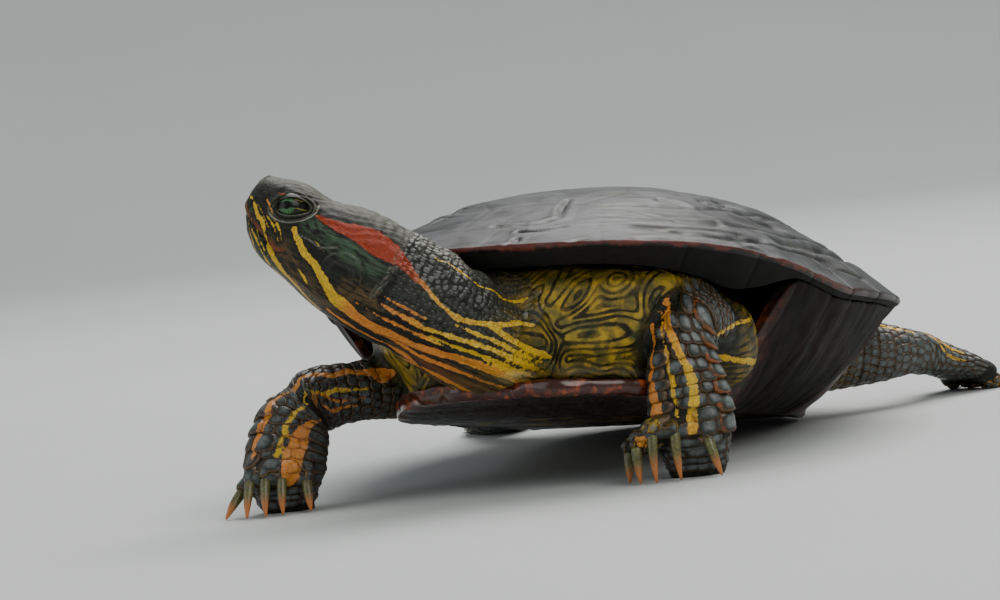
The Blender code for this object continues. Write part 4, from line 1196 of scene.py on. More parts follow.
def carapace_relief(angle, r, points, groove):
    """Grooves, growth rings, long wrinkles and cracks of the upper shell, in mm along its normal."""
    gap = seam_gap(angle, r)
    reach = rim_radius(angle)
    x, y = reach * r * np.cos(angle), reach * r * np.sin(angle)
    rough = np.maximum(smooth(-30, 10, y), smooth(14, 34, np.abs(x)) * smooth(-88, -66, y))
    rough = rough * smooth(16, 38, np.hypot(x, y))
    calm = smooth(-60, 10, y)
    at_rim = mix(1, mix(0.15, 0.8, calm), smooth(0.8, 0.84, r))
    cut = groove * bell(gap, 0.5) * mix(0.35, 1, calm) * at_rim
    lift = 0.28 * calm * (1.0 - np.exp(-gap / 3.0)) - cut
    lift += 0.05 * calm * np.sin(gap * 2.6 + 1.4 * noise(points, 9, 51)) * np.exp(-gap / 6.0)
    inward = reach * (1.0 - r) + 3.0 * noise(points, 22, 52)
    sideways = smooth(0.55, 0.85, np.abs(np.cos(angle)))
    fold = 0.0
    for way, weight, number in ((y, sideways, 53), (x, 1.0 - sideways, 57)):
        drawn = np.stack([inward, way * 0.08, 0 * x], -1) + 60.0
        fold = fold + weight * (noise(drawn, 4.4, number) + 0.3 * noise(drawn, 2.2, number + 1))
    lift += rough * (0.62 * fold - 0.75 * bell(fold + 0.1, 0.1)) * smooth(1, 0.9, r)
    lift += 0.12 * layers(points, 5, 55, 3)
    worn = 0.75 + 0.45 * noise(points, 5, 56)
    wobble = 0.5 * noise(points, 3, 59)
    # crease marks the folds and cuts that the shell's material darkens as painted shade.
    crease = rough * bell(fold + 0.1, 0.16)
    for lines, width, depth in ((SHELL_CRACKS, 0.65, 0.95), (SHELL_VALLEYS, 1.25, 1.0)):
        cut = np.zeros(len(points))
        for line in lines:
            away = line_gap(x, y, line)
            cut = np.maximum(cut, bell(away + wobble, width) * worn)
            lift += 0.2 * bell(away - 2.6 * width, width) * worn
        lift -= depth * cut
        crease = np.maximum(crease, cut)
    return lift, gap, crease


def carapace_mesh(groove):
    """Upper shell, ring by ring from the crown over the rim and back to the middle inside."""
    seams = rim_seam_angles()
    ends = np.append(seams[1:], seams[0] + 2 * pi)
    angle = np.concatenate([crowded(a, b, 24) for a, b in zip(seams, ends)])
    whole = np.ones(len(angle))
    seam_near = np.min(np.abs(wrapped(angle[:, None] - seams[None])), 1) * rim_radius(angle)
    rear = smooth(0.2, 0.85, np.sin(angle))
    notch = (0.25 + 0.9 * rear) * bell(seam_near, 1.4) - (0.2 + 0.5 * rear) * bell(seam_near - 6.0, 5)
    # Rows of (kind, out, up); kind is 0 to 1 above, up to 2.01 under the rim and INSIDE within.
    rows = []
    for r in (*(np.linspace(0, 1, 88)[2:-1] ** 0.9 * RIM_ROW_START),
              *(RIM_ROW_START + (1.0 - RIM_ROW_START) * np.linspace(0, 1, 34))):
        out, up = dome_point(angle, whole * r)
        out = out - notch * smooth(0.9, 1, r)
        rows.append((r, out, up))
    for t in (0.15, 0.35, 0.6, 0.8, 1.0):
        rows.append((1.0 + 0.01 * t, out + 0.25 * sin(pi * t) - 0.5 * t * t,
                     up - 0.6 * RIM_THICKNESS * t))
    for share in np.linspace(0, 1, 15)[1:]:
        out, up = flange_point(angle, whole * share)
        rows.append((1.01 + share, out - notch * (1 - share), up))
    rows += [(INSIDE, out - 0.7, up + 0.35), (INSIDE, out - 1.4, up + 0.1)]
    for share in (0.85, 0.6, 0.3, 0.05):
        roof = dome_point(angle, whole * min(share * 0.8, 0.7))[1] - SHELL_WALL
        rows.append((INSIDE, out * share, mix(up + 1.0, roof, smooth(1, 0.6, share))))
    points, faces = lofted([turned(angle, out, up) for _, out, up in rows],
                           shell_axis(DOME_HEIGHT), shell_axis(DOME_HEIGHT - SHELL_WALL))
    kinds = np.append(np.repeat([row[0] for row in rows], len(angle)), [0.0, INSIDE])
    turn = np.append(np.tile(angle, len(rows)), [0.0, 0.0])
    mesh = outward(mesh_from("carapace_horn", points, faces))
    lift, gap, crease = carapace_relief(turn, np.minimum(kinds, 1), points, groove)
    fade = np.where(kinds <= 1.0, 1.0, smooth(1.06, 1, kinds) * 0.8)
    under_lift = 0.18 * layers(points, 4, 58, 2) - 0.35 * bell(seam_gap(turn, np.ones(len(turn))), 0.5)
    lift = lift * fade + under_lift * (1.0 - fade) * (kinds < 2.1)
    set_mesh_points(mesh, points + mesh_normals(mesh) * lift[:, None])
    along = rim_radius(turn) * np.minimum(kinds, 1) * np.sin(turn)
    write_attributes(mesh, seam=np.minimum(gap, 8), around_rim=kinds, rise=lift, crease=crease,
                     rearward=smooth(-60, 30, along))
    return mesh


def plastron_mesh():
    """Lower shell, ring by ring from the middle below over the edge and back to the middle inside."""
    angle = circle(520)
    edge = plastron_edge(angle)
    lobe = 1.0 - bridge_share(angle)
    side = edge * np.cos(angle)
    front = smooth(0.75, 0.95, -np.sin(angle))
    edge = edge + (2.2 * bell(np.abs(side) - 12.5, 5.5) - bell(side, 2)) * front
    rows = []
    for share in (*np.linspace(0.04, 0.9, 44), *np.linspace(0.92, 1, 14)):
        rows.append((edge * share, belly_height(angle, edge * share)))
    out, up = rows[-1]
    for t in (0.1, 0.25, 0.45, 0.65, 0.85, 1.0):
        swell = 0.55 * sin(pi * t)
        rows.append((out + (0.4 * t + swell) * lobe - 2.6 * t * (1 - lobe),
                     up + mix(0.1, SHELL_WALL * 0.95, lobe) * t))
    out, up = rows[-1]
    for share in (0.985, 0.96, 0.9, 0.75, 0.4, 0.04):
        level = belly_height(angle, edge * share) + SHELL_WALL
        rows.append((np.minimum(edge * share, out), np.maximum(level, up - 2.0) if share > 0.95 else level))
    points, faces = lofted([turned(angle, out, up) for out, up in rows],
                           shell_axis(-BELLY_DEPTH), shell_axis(-BELLY_DEPTH + SHELL_WALL))
    mesh = outward(mesh_from("plastron_horn", points, faces))
    x, y, z = into_shell(points).T
    turn, out = np.arctan2(y, x), np.hypot(x, y)
    gap = np.where(np.abs(x) < 30.0, np.abs(x + 0.8 * noise(points, 20, 61)), 30.0)
    gap = np.minimum(gap, np.abs(z - WALL_SEAM - 0.03 * y) + 20.0 * (np.abs(x) < BELLY_FLAT_HALF + 4.0))
    for k, cross in enumerate(PLASTRON_CROSSES):
        gap = np.minimum(gap, np.abs(y - cross - 0.1 * np.abs(x) * (1 if k < 2 else -0.4)))
    bridge = bridge_share(turn)
    wall = bridge * smooth(BELLY_FLAT_HALF - 8.0, BELLY_FLAT_HALF + 6.0, np.abs(x))
    drawn = np.stack([y + 0.45 * z, z * 0.18, 0 * x], -1) + 80.0
    streaks = noise(drawn, 3.4, 62) + 0.5 * noise(drawn, 1.7, 65)
    rim = smooth(6, 1, lobe_radius(turn) - out) * (1 - bridge)
    lift = 0.42 * streaks * wall - 0.35 * bell(gap, 0.5)
    lift += 0.5 * noise(points, 4.2, 63) * rim + 0.12 * layers(points, 6, 64, 2)
    moved = points + mesh_normals(mesh) * lift[:, None]
    moved[:, 2] = np.maximum(moved[:, 2], 0.4)
    set_mesh_points(mesh, moved)
    write_attributes(mesh, seam=np.minimum(gap, 8), wall=wall, edge=rim,
                     # outer: the band by the belly's edge, which the material paints dark, partly as shade.
                     outer=smooth(26, 8, np.minimum(lobe_radius(turn), 60) - out))
    return mesh


# ---- scales

RAY_REACH = 3.5                # how far out the skin is looked for, in plain radii of the limb
PATCH = 0.003                  # size of each scale's patch on the bake map
PLATE_HORN = 1.1               # amount of painted grey sheen; above 1 it marks the outer plates, which have orange edges


class Hide:
    """The skin round one limb, as a map of how far out it lies at each length and angle."""

    ROWS, COLUMNS = 180, 144

    def __init__(self, tube, finder, farthest=3.4):
        self.tube = tube
        lengths = np.linspace(0, tube.length[-1], self.ROWS)
        angles = (np.arange(self.COLUMNS) - self.COLUMNS / 2) * 2 * pi / self.COLUMNS
        grid = np.meshgrid(lengths, angles, indexing="ij")
        reach = []
        for start, way in zip(*self.spoke(grid[0].ravel(), grid[1].ravel())):
            size = float(np.linalg.norm(way))
            hit = finder.ray_cast(Vector(start), Vector(way / size), size * RAY_REACH)
            reach.append(np.nan if hit[0] is None or hit[3] / size > farthest else hit[3] / size)
        self.reach = np.reshape(reach, (self.ROWS, self.COLUMNS))

    def spoke(self, length, angle):
        """Place on the axis, and the way out at an angle as far as the limb's plain radius."""
        place, across, deep = self.tube.at(length)
        breadth, depth = self.tube.size_at(length)
        way = across * (np.cos(angle) * breadth)[..., None]
        return place, way - deep * (np.sin(angle) * depth)[..., None]

    def share(self, length, angle):
        """How far out the skin lies, as a share of the plain radius; nan where the limb meets the body."""
        row = np.clip(length / self.tube.length[-1], 0, 1) * (self.ROWS - 1)
        column = (angle / (2 * pi) + 0.5) % 1.0 * self.COLUMNS
        r0 = np.minimum(row.astype(int), self.ROWS - 2)
        c0 = np.nan_to_num(column).astype(int) % self.COLUMNS
        c1 = (c0 + 1) % self.COLUMNS
        f = column - np.floor(column)
        top, low = (mix(self.reach[r, c0], self.reach[r, c1], f) for r in (r0, r0 + 1))
        return mix(top, low, row - r0)

    def radius(self, length, angle):
        return np.linalg.norm(self.spoke(length, angle)[1], axis=-1) * self.share(length, angle)

    def points(self, length, angle, height):
        place, way = self.spoke(length, angle)
        size = np.linalg.norm(way, axis=-1)
        out = size * self.share(length, angle) + height
        return place + way / size[..., None] * out[..., None]


def scale_rows(hide, first, last, start, end, length, width, seed, loose=0.1):
    """Centres and half sizes of scales in rows: (length, angle, half length, half width)."""
    random = np.random.RandomState(seed)
    rows = max(int(round((last - first) / length)), 1)
    step = (last - first) / rows
    found = []
    for row in range(rows):
        s = first + (row + 0.5) * step
        spread = np.radians(np.linspace(start, end, 25))
        rim = hide.radius(np.full(25, s), spread)
        if np.isnan(rim).all():
            continue
        arc = np.nanmean(rim) * abs(spread[-1] - spread[0])
        count = max(int(round(arc / width)), 1)
        for column in range(count):
            shift = 0.5 * (row % 2) if count > 1 else 0.0
            angle = mix(spread[0], spread[-1], (column + 0.5 + shift) / count)
            nudge = random.uniform(-loose, loose, 2)
            swell = random.uniform(1.0 - loose, 1.0 + loose)
            found.append((s + nudge[0] * step, angle + nudge[1] * width / max(np.nanmean(rim), 1.0),
                          step / 2 * swell, arc / count / 2 * swell))
    return np.array(found)


def scale_patches(hide, scales, height, tilt, sides, rings, squareness=2.8, lap=1.12, sink=0.45):
    """Domed solid plates on the skin, raised at their far edge: points, faces, map places and rims."""
    a, b = squircle(circle(sides), squareness)
    share = np.append(np.linspace(0, 1, rings + 1)[1:], 1.06)
    u, v = np.append(0.0, share[:, None] * a), np.append(0.0, share[:, None] * b)
    r = np.append(0.0, np.repeat(share, sides))
    dome = (1.0 - np.minimum(r, 1) ** 2.6) * 0.75 + 0.25
    lift = np.where(r > 1.01, -sink, height * dome + tilt * (u * 0.5 + 0.5))
    length = scales[:, 0, None] + scales[:, 2, None] * lap * u
    radius = hide.radius(scales[:, 0], scales[:, 1])
    turn = scales[:, 1, None] + scales[:, 3, None] * lap * v / radius[:, None]
    points = hide.points(length.ravel(), turn.ravel(), np.tile(lift, len(scales))).reshape(len(scales), -1, 3)
    spread = np.linalg.norm(points - points[:, :1], axis=2).max(1)
    torn = spread > 3.2 * lap * np.maximum(scales[:, 2], scales[:, 3]) + 0.5
    good = ~np.isnan(points).any((1, 2)) & ~torn
    points, scales = points[good], scales[good]
    faces = [(0, 1 + i, 1 + (i + 1) % sides) for i in range(sides)]
    faces += [[1 + face[k] for k in (0, 3, 2, 1)] for face in grid_faces(rings + 1, sides)]
    faces.append([1 + rings * sides + i for i in reversed(range(sides))])
    starts = np.arange(len(points)) * len(r)
    faces = [[start + i for i in face] for start in starts.tolist() for face in faces]
    place = np.stack([(scales[:, 1] / (2 * pi) + 0.5) % 1.0, scales[:, 0] / hide.tube.length[-1]], -1)
    spots = np.clip(place, PATCH, 1.0 - PATCH)[:, None] + np.stack([v, u], -1)[None] * PATCH / 2.2
    return points.reshape(-1, 3), faces, spots.reshape(-1, 2), np.tile(np.minimum(r, 1), len(points))


def scale_piece(name, batches, horns, tubes):
    """One mesh of many scales, with the skin's markings and a bake map; horns says how much painted grey
    sheen each batch gets.
    """
    points, faces = joined(batches)
    points[:, 2] = np.maximum(points[:, 2], 0)
    mesh = bpy.data.meshes.new(name)
    mesh.from_pydata(to_packed(points).tolist(), [], faces)
    spots, rim = (np.concatenate([batch[k] for batch in batches]) for k in (2, 3))
    corners = spots[read(mesh.loops, "vertex_index", kind=np.int32)].astype(np.float32)
    mesh.uv_layers.new(name="OFBake").data.foreach_set("uv", corners.ravel())
    mesh.shade_smooth()
    horn = np.concatenate([np.full(len(batch[0]), grey) for batch, grey in zip(batches, horns)])
    write_paint(mesh, points, tubes, rim=rim, horn=horn)
    return mesh


# Fields of scales: from, to (mm along), start, end (degrees), row height, width, height, tilt.
LEG_FIELDS = {
    "foreleg_left": [(42, 71, -50, 0, 4.1, 5.6, 0.5, 1.25), (42, 76, -118, -50, 2.8, 3.1, 0.42, 0.5),
                     (49, 70, -176, -118, 2.7, 8.5, 0.42, 0.5), (42, 49, -176, -118, 2.7, 3, 0.36, 0.3),
                     (34, 42, -176, 60, 1.7, 3.2, 0.4, 0.45), (44, 74, 0, 184, 3, 3.4, 0.35, 0.25),
                     (72.5, 80, -180, 180, 1.7, 2.1, 0.28, 0.4)],
    "foreleg_right": [(50, 72, 172, 232, 3.4, 4.2, 0.34, 0.6), (50, 71, -128, -60, 2.3, 2.6, 0.28, 0.25),
                      (52, 71, -60, -8, 2.5, 6.5, 0.3, 0.35), (50, 71, -8, 172, 2.6, 2.8, 0.28, 0.25),
                      (28, 50, -180, 180, 2.2, 2.4, 0.22, 0.15), (71.5, 77, -180, 180, 1.7, 2.1, 0.28, 0.3)],
    "hindleg_left": [(14, 44, -180, 180, 2.3, 2.5, 0.22, 0.15), (44, 79, -180, 180, 2.6, 2.8, 0.28, 0.3)],
    "hindleg_right": [(14, 42, -180, 180, 2.3, 2.5, 0.22, 0.15), (42, 71, -180, 180, 2.6, 2.8, 0.28, 0.3)],
    "tail": [(12, 60, -180, 180, 2.6, 2.6, 0.22, 0.2)],
}
NECK_FIELDS = [(41.5, 73, 14, 166, 1.35, 1.5, 0.14, 0.22), (43, 70, -26, 14, 1.1, 1.2, 0.05, 0.05),
               (43, 70, 166, 206, 1.1, 1.2, 0.05, 0.05)]


def skin_finder(mesh):
    """Search tree of the skin's triangles in mm."""
    mesh.calc_loop_triangles()
    corners = read(mesh.loop_triangles, "vertices", 3, np.int32)
    return BVHTree.FromPolygons(mesh_points(mesh).tolist(), corners.tolist())


def leg_scales(name, tubes, finder):
    hide = Hide(tubes[name], finder)
    batches, horns = [], []
    for k, (first, last, start, end, length, width, height, tilt) in enumerate(LEG_FIELDS[name]):
        rows = scale_rows(hide, first, last, start, end, length, width, 70 + k)
        if len(rows):
            batches.append(scale_patches(hide, rows, height, tilt, 12 if width > 2.5 else 8, 3))
            # Taller scales get more painted grey sheen.
            small = min(0.25 + 0.14 * height / 0.1, 0.8)
            horns.append(PLATE_HORN if tilt > 0.8 else small if width < 5 else 0.35)
    return scale_piece(f"scales_{name}", batches, horns, tubes)


def neck_scales(tubes, finder):
    hide = Hide(tubes["neck"], finder)
    batches = []
    for k, (first, last, start, end, length, width, height, tilt) in enumerate(NECK_FIELDS):
        rows = scale_rows(hide, first, last, start, end, length, width, 90 + k, 0.3)
        batches.append(scale_patches(hide, rows, height, tilt, 8, 2, 3.4, 1.05, 0.3))
    return scale_piece("scales_neck", batches, [0.2, 0.1, 0.1], tubes)


def toe_scales(tubes, finder):
    """Round plates over the knuckles of every toe."""
    batches = []
    for _, root, base, tip, bow in all_toes():
        ahead = unit(claw_middle(base, tip, bow) - base)
        knuckle = base - ahead * KNUCKLE_BACK
        across = unit(np.cross(base - root, (0.1, 0.2, 1.0)))
        joints = [(place, radius, radius, across) for place, radius in
                  ((root, 2.1), (mix(root, knuckle, 0.6), 2.1), (knuckle, 2.1), (base - ahead * 0.4, 1.8))]
        tube = Tube(joints, 0.0, 3.0, samples=40)
        hide = Hide(tube, finder, 1.7)
        rows = scale_rows(hide, 1.0, tube.length[-1] - 0.2, -180, 180, 1.9, 2.4, 95)
        batches.append(scale_patches(hide, rows, 0.28, 0.2, 8, 2, 2.4, 1.05, 0.3))
    return scale_piece("scales_toes", batches, [0.6] * len(batches), tubes)


# ---- eyes and claws

CORNEA_BULGE = 0.22
IRIS_RADIUS = 2.15
PUPIL_RADIUS = 1.0
PUPIL_BLACK = (0.002, 0.002, 0.002)
BAR_HALF = 0.62                # half width of the dark bar through the eye
CLAW_RADIUS = 1.35


def eye_mesh(name, side):
    centre, axes = eye_centre(side), eye_axes(side)
    polar = np.append(np.linspace(0.02, 0.95, 48), np.linspace(1, pi - 0.12, 18))
    turn = circle(80)
    radius = EYE_RADIUS + CORNEA_BULGE * bell(polar, 0.45)
    flat, out = (radius * np.sin(polar))[:, None], (radius * np.cos(polar))[:, None]
    grid = np.stack(np.broadcast_arrays(flat * np.cos(turn), flat * np.sin(turn), out), -1)
    points, faces = lofted(grid @ axes + centre, centre + axes[2] * (EYE_RADIUS + CORNEA_BULGE),
                           centre - axes[2] * EYE_RADIUS)
    mesh = outward(mesh_from(name, points, faces))
    x, y, z = ((mesh_points(mesh) - centre) @ axes.T).T
    write_attributes(mesh, eye_back=x, eye_up=y, eye_out=z)
    return mesh


def claw_mesh(name, base, tip, bow):
    """Curved horn, flatter below than above, from inside the toe to a blunt point."""
    middle = claw_middle(base, tip, bow)
    start = base - unit(middle - base) * 0.5
    t = np.linspace(0, 1, 22)[:, None]
    centre = start * (1 - t) ** 2 + middle * (2 * t * (1 - t)) + tip * t * t
    ahead = unit((middle - start) * (1 - t) + (tip - middle) * t)
    side = unit(np.cross(ahead, (0.3, -0.9, 0.3)))
    deep = np.cross(ahead, side)
    radius = CLAW_RADIUS * (1.0 - 0.8 * t ** 2.1)
    angle = circle(20)
    a, b = squircle(angle, 2.0)
    b = np.where(b < 0, b * 0.85, b * 1.15)
    rings = (centre[:, None] + side[:, None] * (radius * a)[..., None]
             + deep[:, None] * (radius * b)[..., None])
    points, faces = lofted(rings, None, centre[-1] + ahead[-1] * 0.18)
    mesh = outward(mesh_from(name, points, faces))
    grown = np.append(np.repeat(t[:, 0], len(angle)), 1.0)
    ridges = 0.035 * np.sin(np.append(np.tile(angle, len(t)), 0.0) * 7.0) * (1 - grown)
    moved = mesh_points(mesh) + mesh_normals(mesh) * ridges[:, None]
    moved[:, 2] = np.maximum(moved[:, 2], 0)
    set_mesh_points(mesh, moved)
    write_attributes(mesh, grown=grown)
    return mesh


# ---- materials

def tone(red, green, blue):
    """Linear colour from the 0 to 255 values of a paint chart."""
    def straight(value):
        value /= 255.0
        return value / 12.92 if value <= 0.04045 else ((value + 0.055) / 1.055) ** 2.4
    return straight(red), straight(green), straight(blue)


class Value:
    """A number or a colour that changes over a surface, in one tree of nodes."""

    def __init__(self, tree, socket):
        self.tree, self.socket = tree, socket

    def __add__(self, other):
        return self.tree.math("ADD", self, other)

    def __mul__(self, other):
        return self.tree.math("MULTIPLY", self, other)

    def __sub__(self, other):
        return self.tree.math("SUBTRACT", self, other)

    def __rsub__(self, other):
        return self.tree.math("SUBTRACT", other, self)

    def __abs__(self):
        return self.tree.math("ABSOLUTE", self)

    def step(self, low, high, to_low=0.0, to_high=1.0):
        """Soft step from one value to another while this one goes from low to high."""
        return self.tree.value(0, "MapRange", {0: self, 1: low, 2: high, 3: to_low, 4: to_high},
                               interpolation_type="SMOOTHSTEP")


class Tree:
    """Short words for the nodes of one material or node group."""

    def __init__(self, tree, material=None):
        self.tree, self.material = tree, material

    def add(self, kind, inputs=None, **settings):
        node = self.tree.nodes.new("ShaderNode" + kind)
        for key, value in settings.items():
            setattr(node, key, value)
        for key, value in (inputs or {}).items():
            self.feed(node.inputs[key], value)
        return node

    def value(self, output, kind, inputs=None, **settings):
        """One output of a new node."""
        return Value(self, self.add(kind, inputs, **settings).outputs[output])

    def feed(self, socket, value):
        if isinstance(value, Value):
            self.tree.links.new(value.socket, socket)
        elif socket.type == "RGBA" and len(value) == 3:
            socket.default_value = (*value, 1.0)
        else:
            socket.default_value = value

    def fill(self, node, **values):
        """Values for the inputs of a node, by name with _ for a space."""
        for label, value in values.items():
            self.feed(node.inputs[label.replace("_", " ")], value)
        return node

    def group(self, name, maker, **values):
        """Outputs of a shared node group, placed here with its own values."""
        shared = bpy.data.node_groups.get(name) or maker(name)
        node = self.fill(self.add("Group", node_tree=shared), **values)
        return [Value(self, output) for output in node.outputs]

    def math(self, operation, a, b=0.0):
        return self.value(0, "Math", {0: a, 1: b}, operation=operation)

    def mix(self, factor, a, b):
        return self.value(2, "Mix", {0: factor, 6: a, 7: b}, data_type="RGBA")

    def attribute(self, name, output="Fac"):
        return self.value(output, "Attribute", attribute_name=name)

    def place(self):
        return self.value("Object", "TexCoord")

    def cloud(self, vector, scale, detail=3.0, roughness=0.5):
        return self.value("Fac", "TexNoise", {"Vector": vector, "Scale": scale, "Detail": detail,
                                              "Roughness": roughness})

    def noise(self, size, detail=3.0, roughness=0.55, shift=0.0, stretch=(1, 1, 1)):
        """Cloudy values from 0 to 1 with lumps about size mm across."""
        mapped = self.value(0, "Mapping", {"Vector": self.place(), "Location": (shift, shift, shift),
                                           "Scale": stretch})
        return self.cloud(mapped, 1.0 / (size * MM), detail, roughness)

    def cells(self, size):
        """Distance to the edges of cells about size mm across."""
        return self.value("Distance", "TexVoronoi", {"Vector": self.place(), "Scale": 1.0 / (size * MM)},
                          feature="DISTANCE_TO_EDGE")

    def bump(self, height, distance, strength=1.0):
        return self.value(0, "Bump", {"Height": height, "Distance": distance * MM, "Strength": strength})

    def surface(self, **looks):
        """The material, finished with one Principled shader that has these looks."""
        shader = self.fill(self.add("BsdfPrincipled"), **looks)
        self.fill(self.add("OutputMaterial"), Surface=Value(self, shader.outputs[0]))
        return self.material


def new_group(name, inputs, outputs):
    """Empty node group: its words, its inputs' values and its end; inputs are (name, kind, default)."""
    group = bpy.data.node_groups.new(name, "ShaderNodeTree")
    for label, kind, default in inputs:
        socket = group.interface.new_socket(label, in_out="INPUT", socket_type="NodeSocket" + kind)
        socket.default_value = (*default, 1.0) if kind == "Color" else default
    for label, kind in outputs:
        group.interface.new_socket(label, in_out="OUTPUT", socket_type="NodeSocket" + kind)
    tree, enter = Tree(group), group.nodes.new("NodeGroupInput")
    given = [Value(tree, enter.outputs[label]) for label, _, _ in inputs]
    return tree, given, group.nodes.new("NodeGroupOutput")


def grain_group(name):
    """Fine unevenness for bump and gloss."""
    tree, (coarse, fine), leave = new_group(name, [("Coarse", "Float", 3.0), ("Fine", "Float", 0.5)],
                                            [("Height", "Float"), ("Mottle", "Float")])
    low = tree.cloud(tree.place(), tree.math("DIVIDE", 1.0 / MM, coarse), 4)
    high = tree.cloud(tree.place(), tree.math("DIVIDE", 1.0 / MM, fine), 3)
    tree.fill(leave, Height=low * 0.6 + high * 0.4, Mottle=low)
    return tree.tree


SKIN_TONES = {"Ground": (40, 43, 34), "Olive": (92, 82, 36), "Yellow": (216, 174, 38),
              "Orange": (212, 130, 50), "Red": (146, 44, 6), "Dark": (16, 16, 12),
              "Green": (58, 82, 58), "Brown": (92, 70, 40), "Pale": (166, 165, 150)}


def markings_group(name):
    """Painted stripes of neck and legs over a dark ground, the same on skin and scales."""
    tones = [(label, "Color", tone(*shade)) for label, shade in SKIN_TONES.items()]
    results = [("Color", "Color"), ("Stripe", "Float"), ("Streak", "Float")]
    tree, given, leave = new_group(name, tones, results)
    ground, olive, yellow, orange, red, dark, green, brown, pale = given
    lie, tint, banded = tree.attribute("lie", "Vector"), tree.attribute("tint"), tree.attribute("banded")
    streak, hair = tree.cloud(lie, 1.15, 4, 0.6), tree.cloud(lie, 3.2, 3, 0.6)
    depth = tree.attribute("stripe") + (tree.noise(0.9, 4, 0.65) - 0.5)
    inside = depth.step(-0.08, 0.12)
    warmth = tree.attribute("warmth") + (hair - 0.5) * 0.5
    paint = tree.mix(warmth.step(0.12, 0.5), yellow, orange)
    paint = tree.mix(warmth.step(0.65, 0.98), paint, red)
    cracks = tree.cells(1.1).step(0.12, 0.03) * 0.5
    blotch = tree.math("MAXIMUM", hair.step(0.48, 0.66) * 0.62, cracks)
    paint = tree.mix(blotch, paint, tree.mix(0.4, dark, paint))
    light = streak.step(0.36, 0.62)
    colour = tree.mix(streak.step(0.38, 0.66), dark, ground)
    colour = tree.mix(tint.step(-0.15, -0.9) * (light * 0.9), colour, green)
    colour = tree.mix(tint.step(0.15, 0.9) * (light * 0.75), colour, brown)
    colour = tree.mix(tint.step(1.2, 1.9), colour, tone(112, 56, 30))
    height = tree.attribute("contour") + (tree.noise(5, 3, 0.6, 0.7) - 0.5) * 0.3
    away = abs(tree.math("FRACT", height) - 0.5)
    away = tree.math("DIVIDE", away, tree.math("MAXIMUM", tree.attribute("steep"), 0.12))
    reach = tree.noise(3, 3, 0.6, 1.1).step(0.3, 0.7, 0.26, 0.52)
    lines = (away - reach).step(0.22, -0.16) * tree.noise(6, 3, 0.6, 1.7).step(0.35, 0.6, 0.55, 0.96)
    soft = tree.mix(tree.noise(3.6, 4, 0.6, 0.9).step(0.36, 0.66), olive, yellow)
    soft = tree.mix(0.55, olive, soft)
    soft = tree.mix(tree.noise(7, 2, 0.5, 0.2).step(0.45, 0.7) * 0.45, soft, green)
    colour = tree.mix(banded, colour, tree.mix(lines, soft, dark))
    edge = depth.step(-0.9, -0.1) * (1.0 - banded)
    colour = tree.mix(inside, tree.mix(edge * 0.7, colour, dark), paint)
    # Pale lines, and the painted sheen on the crown, mixed in with the pale colour.
    pale_lines_and_sheen = tree.attribute("pale") * hair.step(0.35, 0.6, 0.45, 1)
    tree.fill(leave, Color=tree.mix(pale_lines_and_sheen, colour, pale), Stripe=inside, Streak=hair)
    return tree.tree


def new_material(name):
    """Words for the nodes of a new, empty material."""
    material = bpy.data.materials.new(name)
    material.use_nodes = True
    material.node_tree.nodes.clear()
    return Tree(material.node_tree, material)


def skin_material(name):
    tree = new_material(name)
    colour, _, streak = tree.group("Skin Markings", markings_group)
    grain, mottle = tree.group("Fine Grain", grain_group, Coarse=1.6, Fine=0.35)
    gloss = mottle.step(0.2, 0.8, 0.28, 0.48) + tree.attribute("lid") * 0.35
    return tree.surface(Base_Color=colour, Roughness=gloss, Normal=tree.bump(grain + streak * 1.4, 0.22, 0.9),
                        Specular_IOR_Level=0.22)


def scale_material(name, rim_colour, rim_share):
    """Horny scales: the skin's markings, greyer in the middle as a painted sheen and with a rim of their own
    colour.
    """
    tree = new_material(name)
    marks, stripe, streak = tree.group("Skin Markings", markings_group)
    grain, mottle = tree.group("Fine Grain", grain_group, Coarse=1.6, Fine=0.3)
    rim, horn = tree.attribute("rim"), tree.attribute("horn")
    # The grey-blue middle of each scale, kept in worn, is a painted sheen: the sky's reflection on the horn.
    worn = rim.step(0.8, 0.3) * mottle.step(0.3, 0.7, 0.35, 0.85)
    colour = tree.mix(worn * ((1.0 - stripe) * horn), marks, tone(112, 120, 120))
    plate_edge = horn.step(0.95, 1.05) * mottle.step(0.4, 0.6)
    edge = rim.step(0.72, 0.95) * mottle.step(0.3, 0.6, 0.5, 1)
    colour = tree.mix(edge * rim_share, colour, tree.mix(plate_edge, rim_colour, tone(176, 92, 30)))
    return tree.surface(Base_Color=colour, Roughness=mottle.step(0.25, 0.75, 0.24, 0.4),
                        Normal=tree.bump(grain + streak * 0.6, 0.1, 0.8), Specular_IOR_Level=0.42)


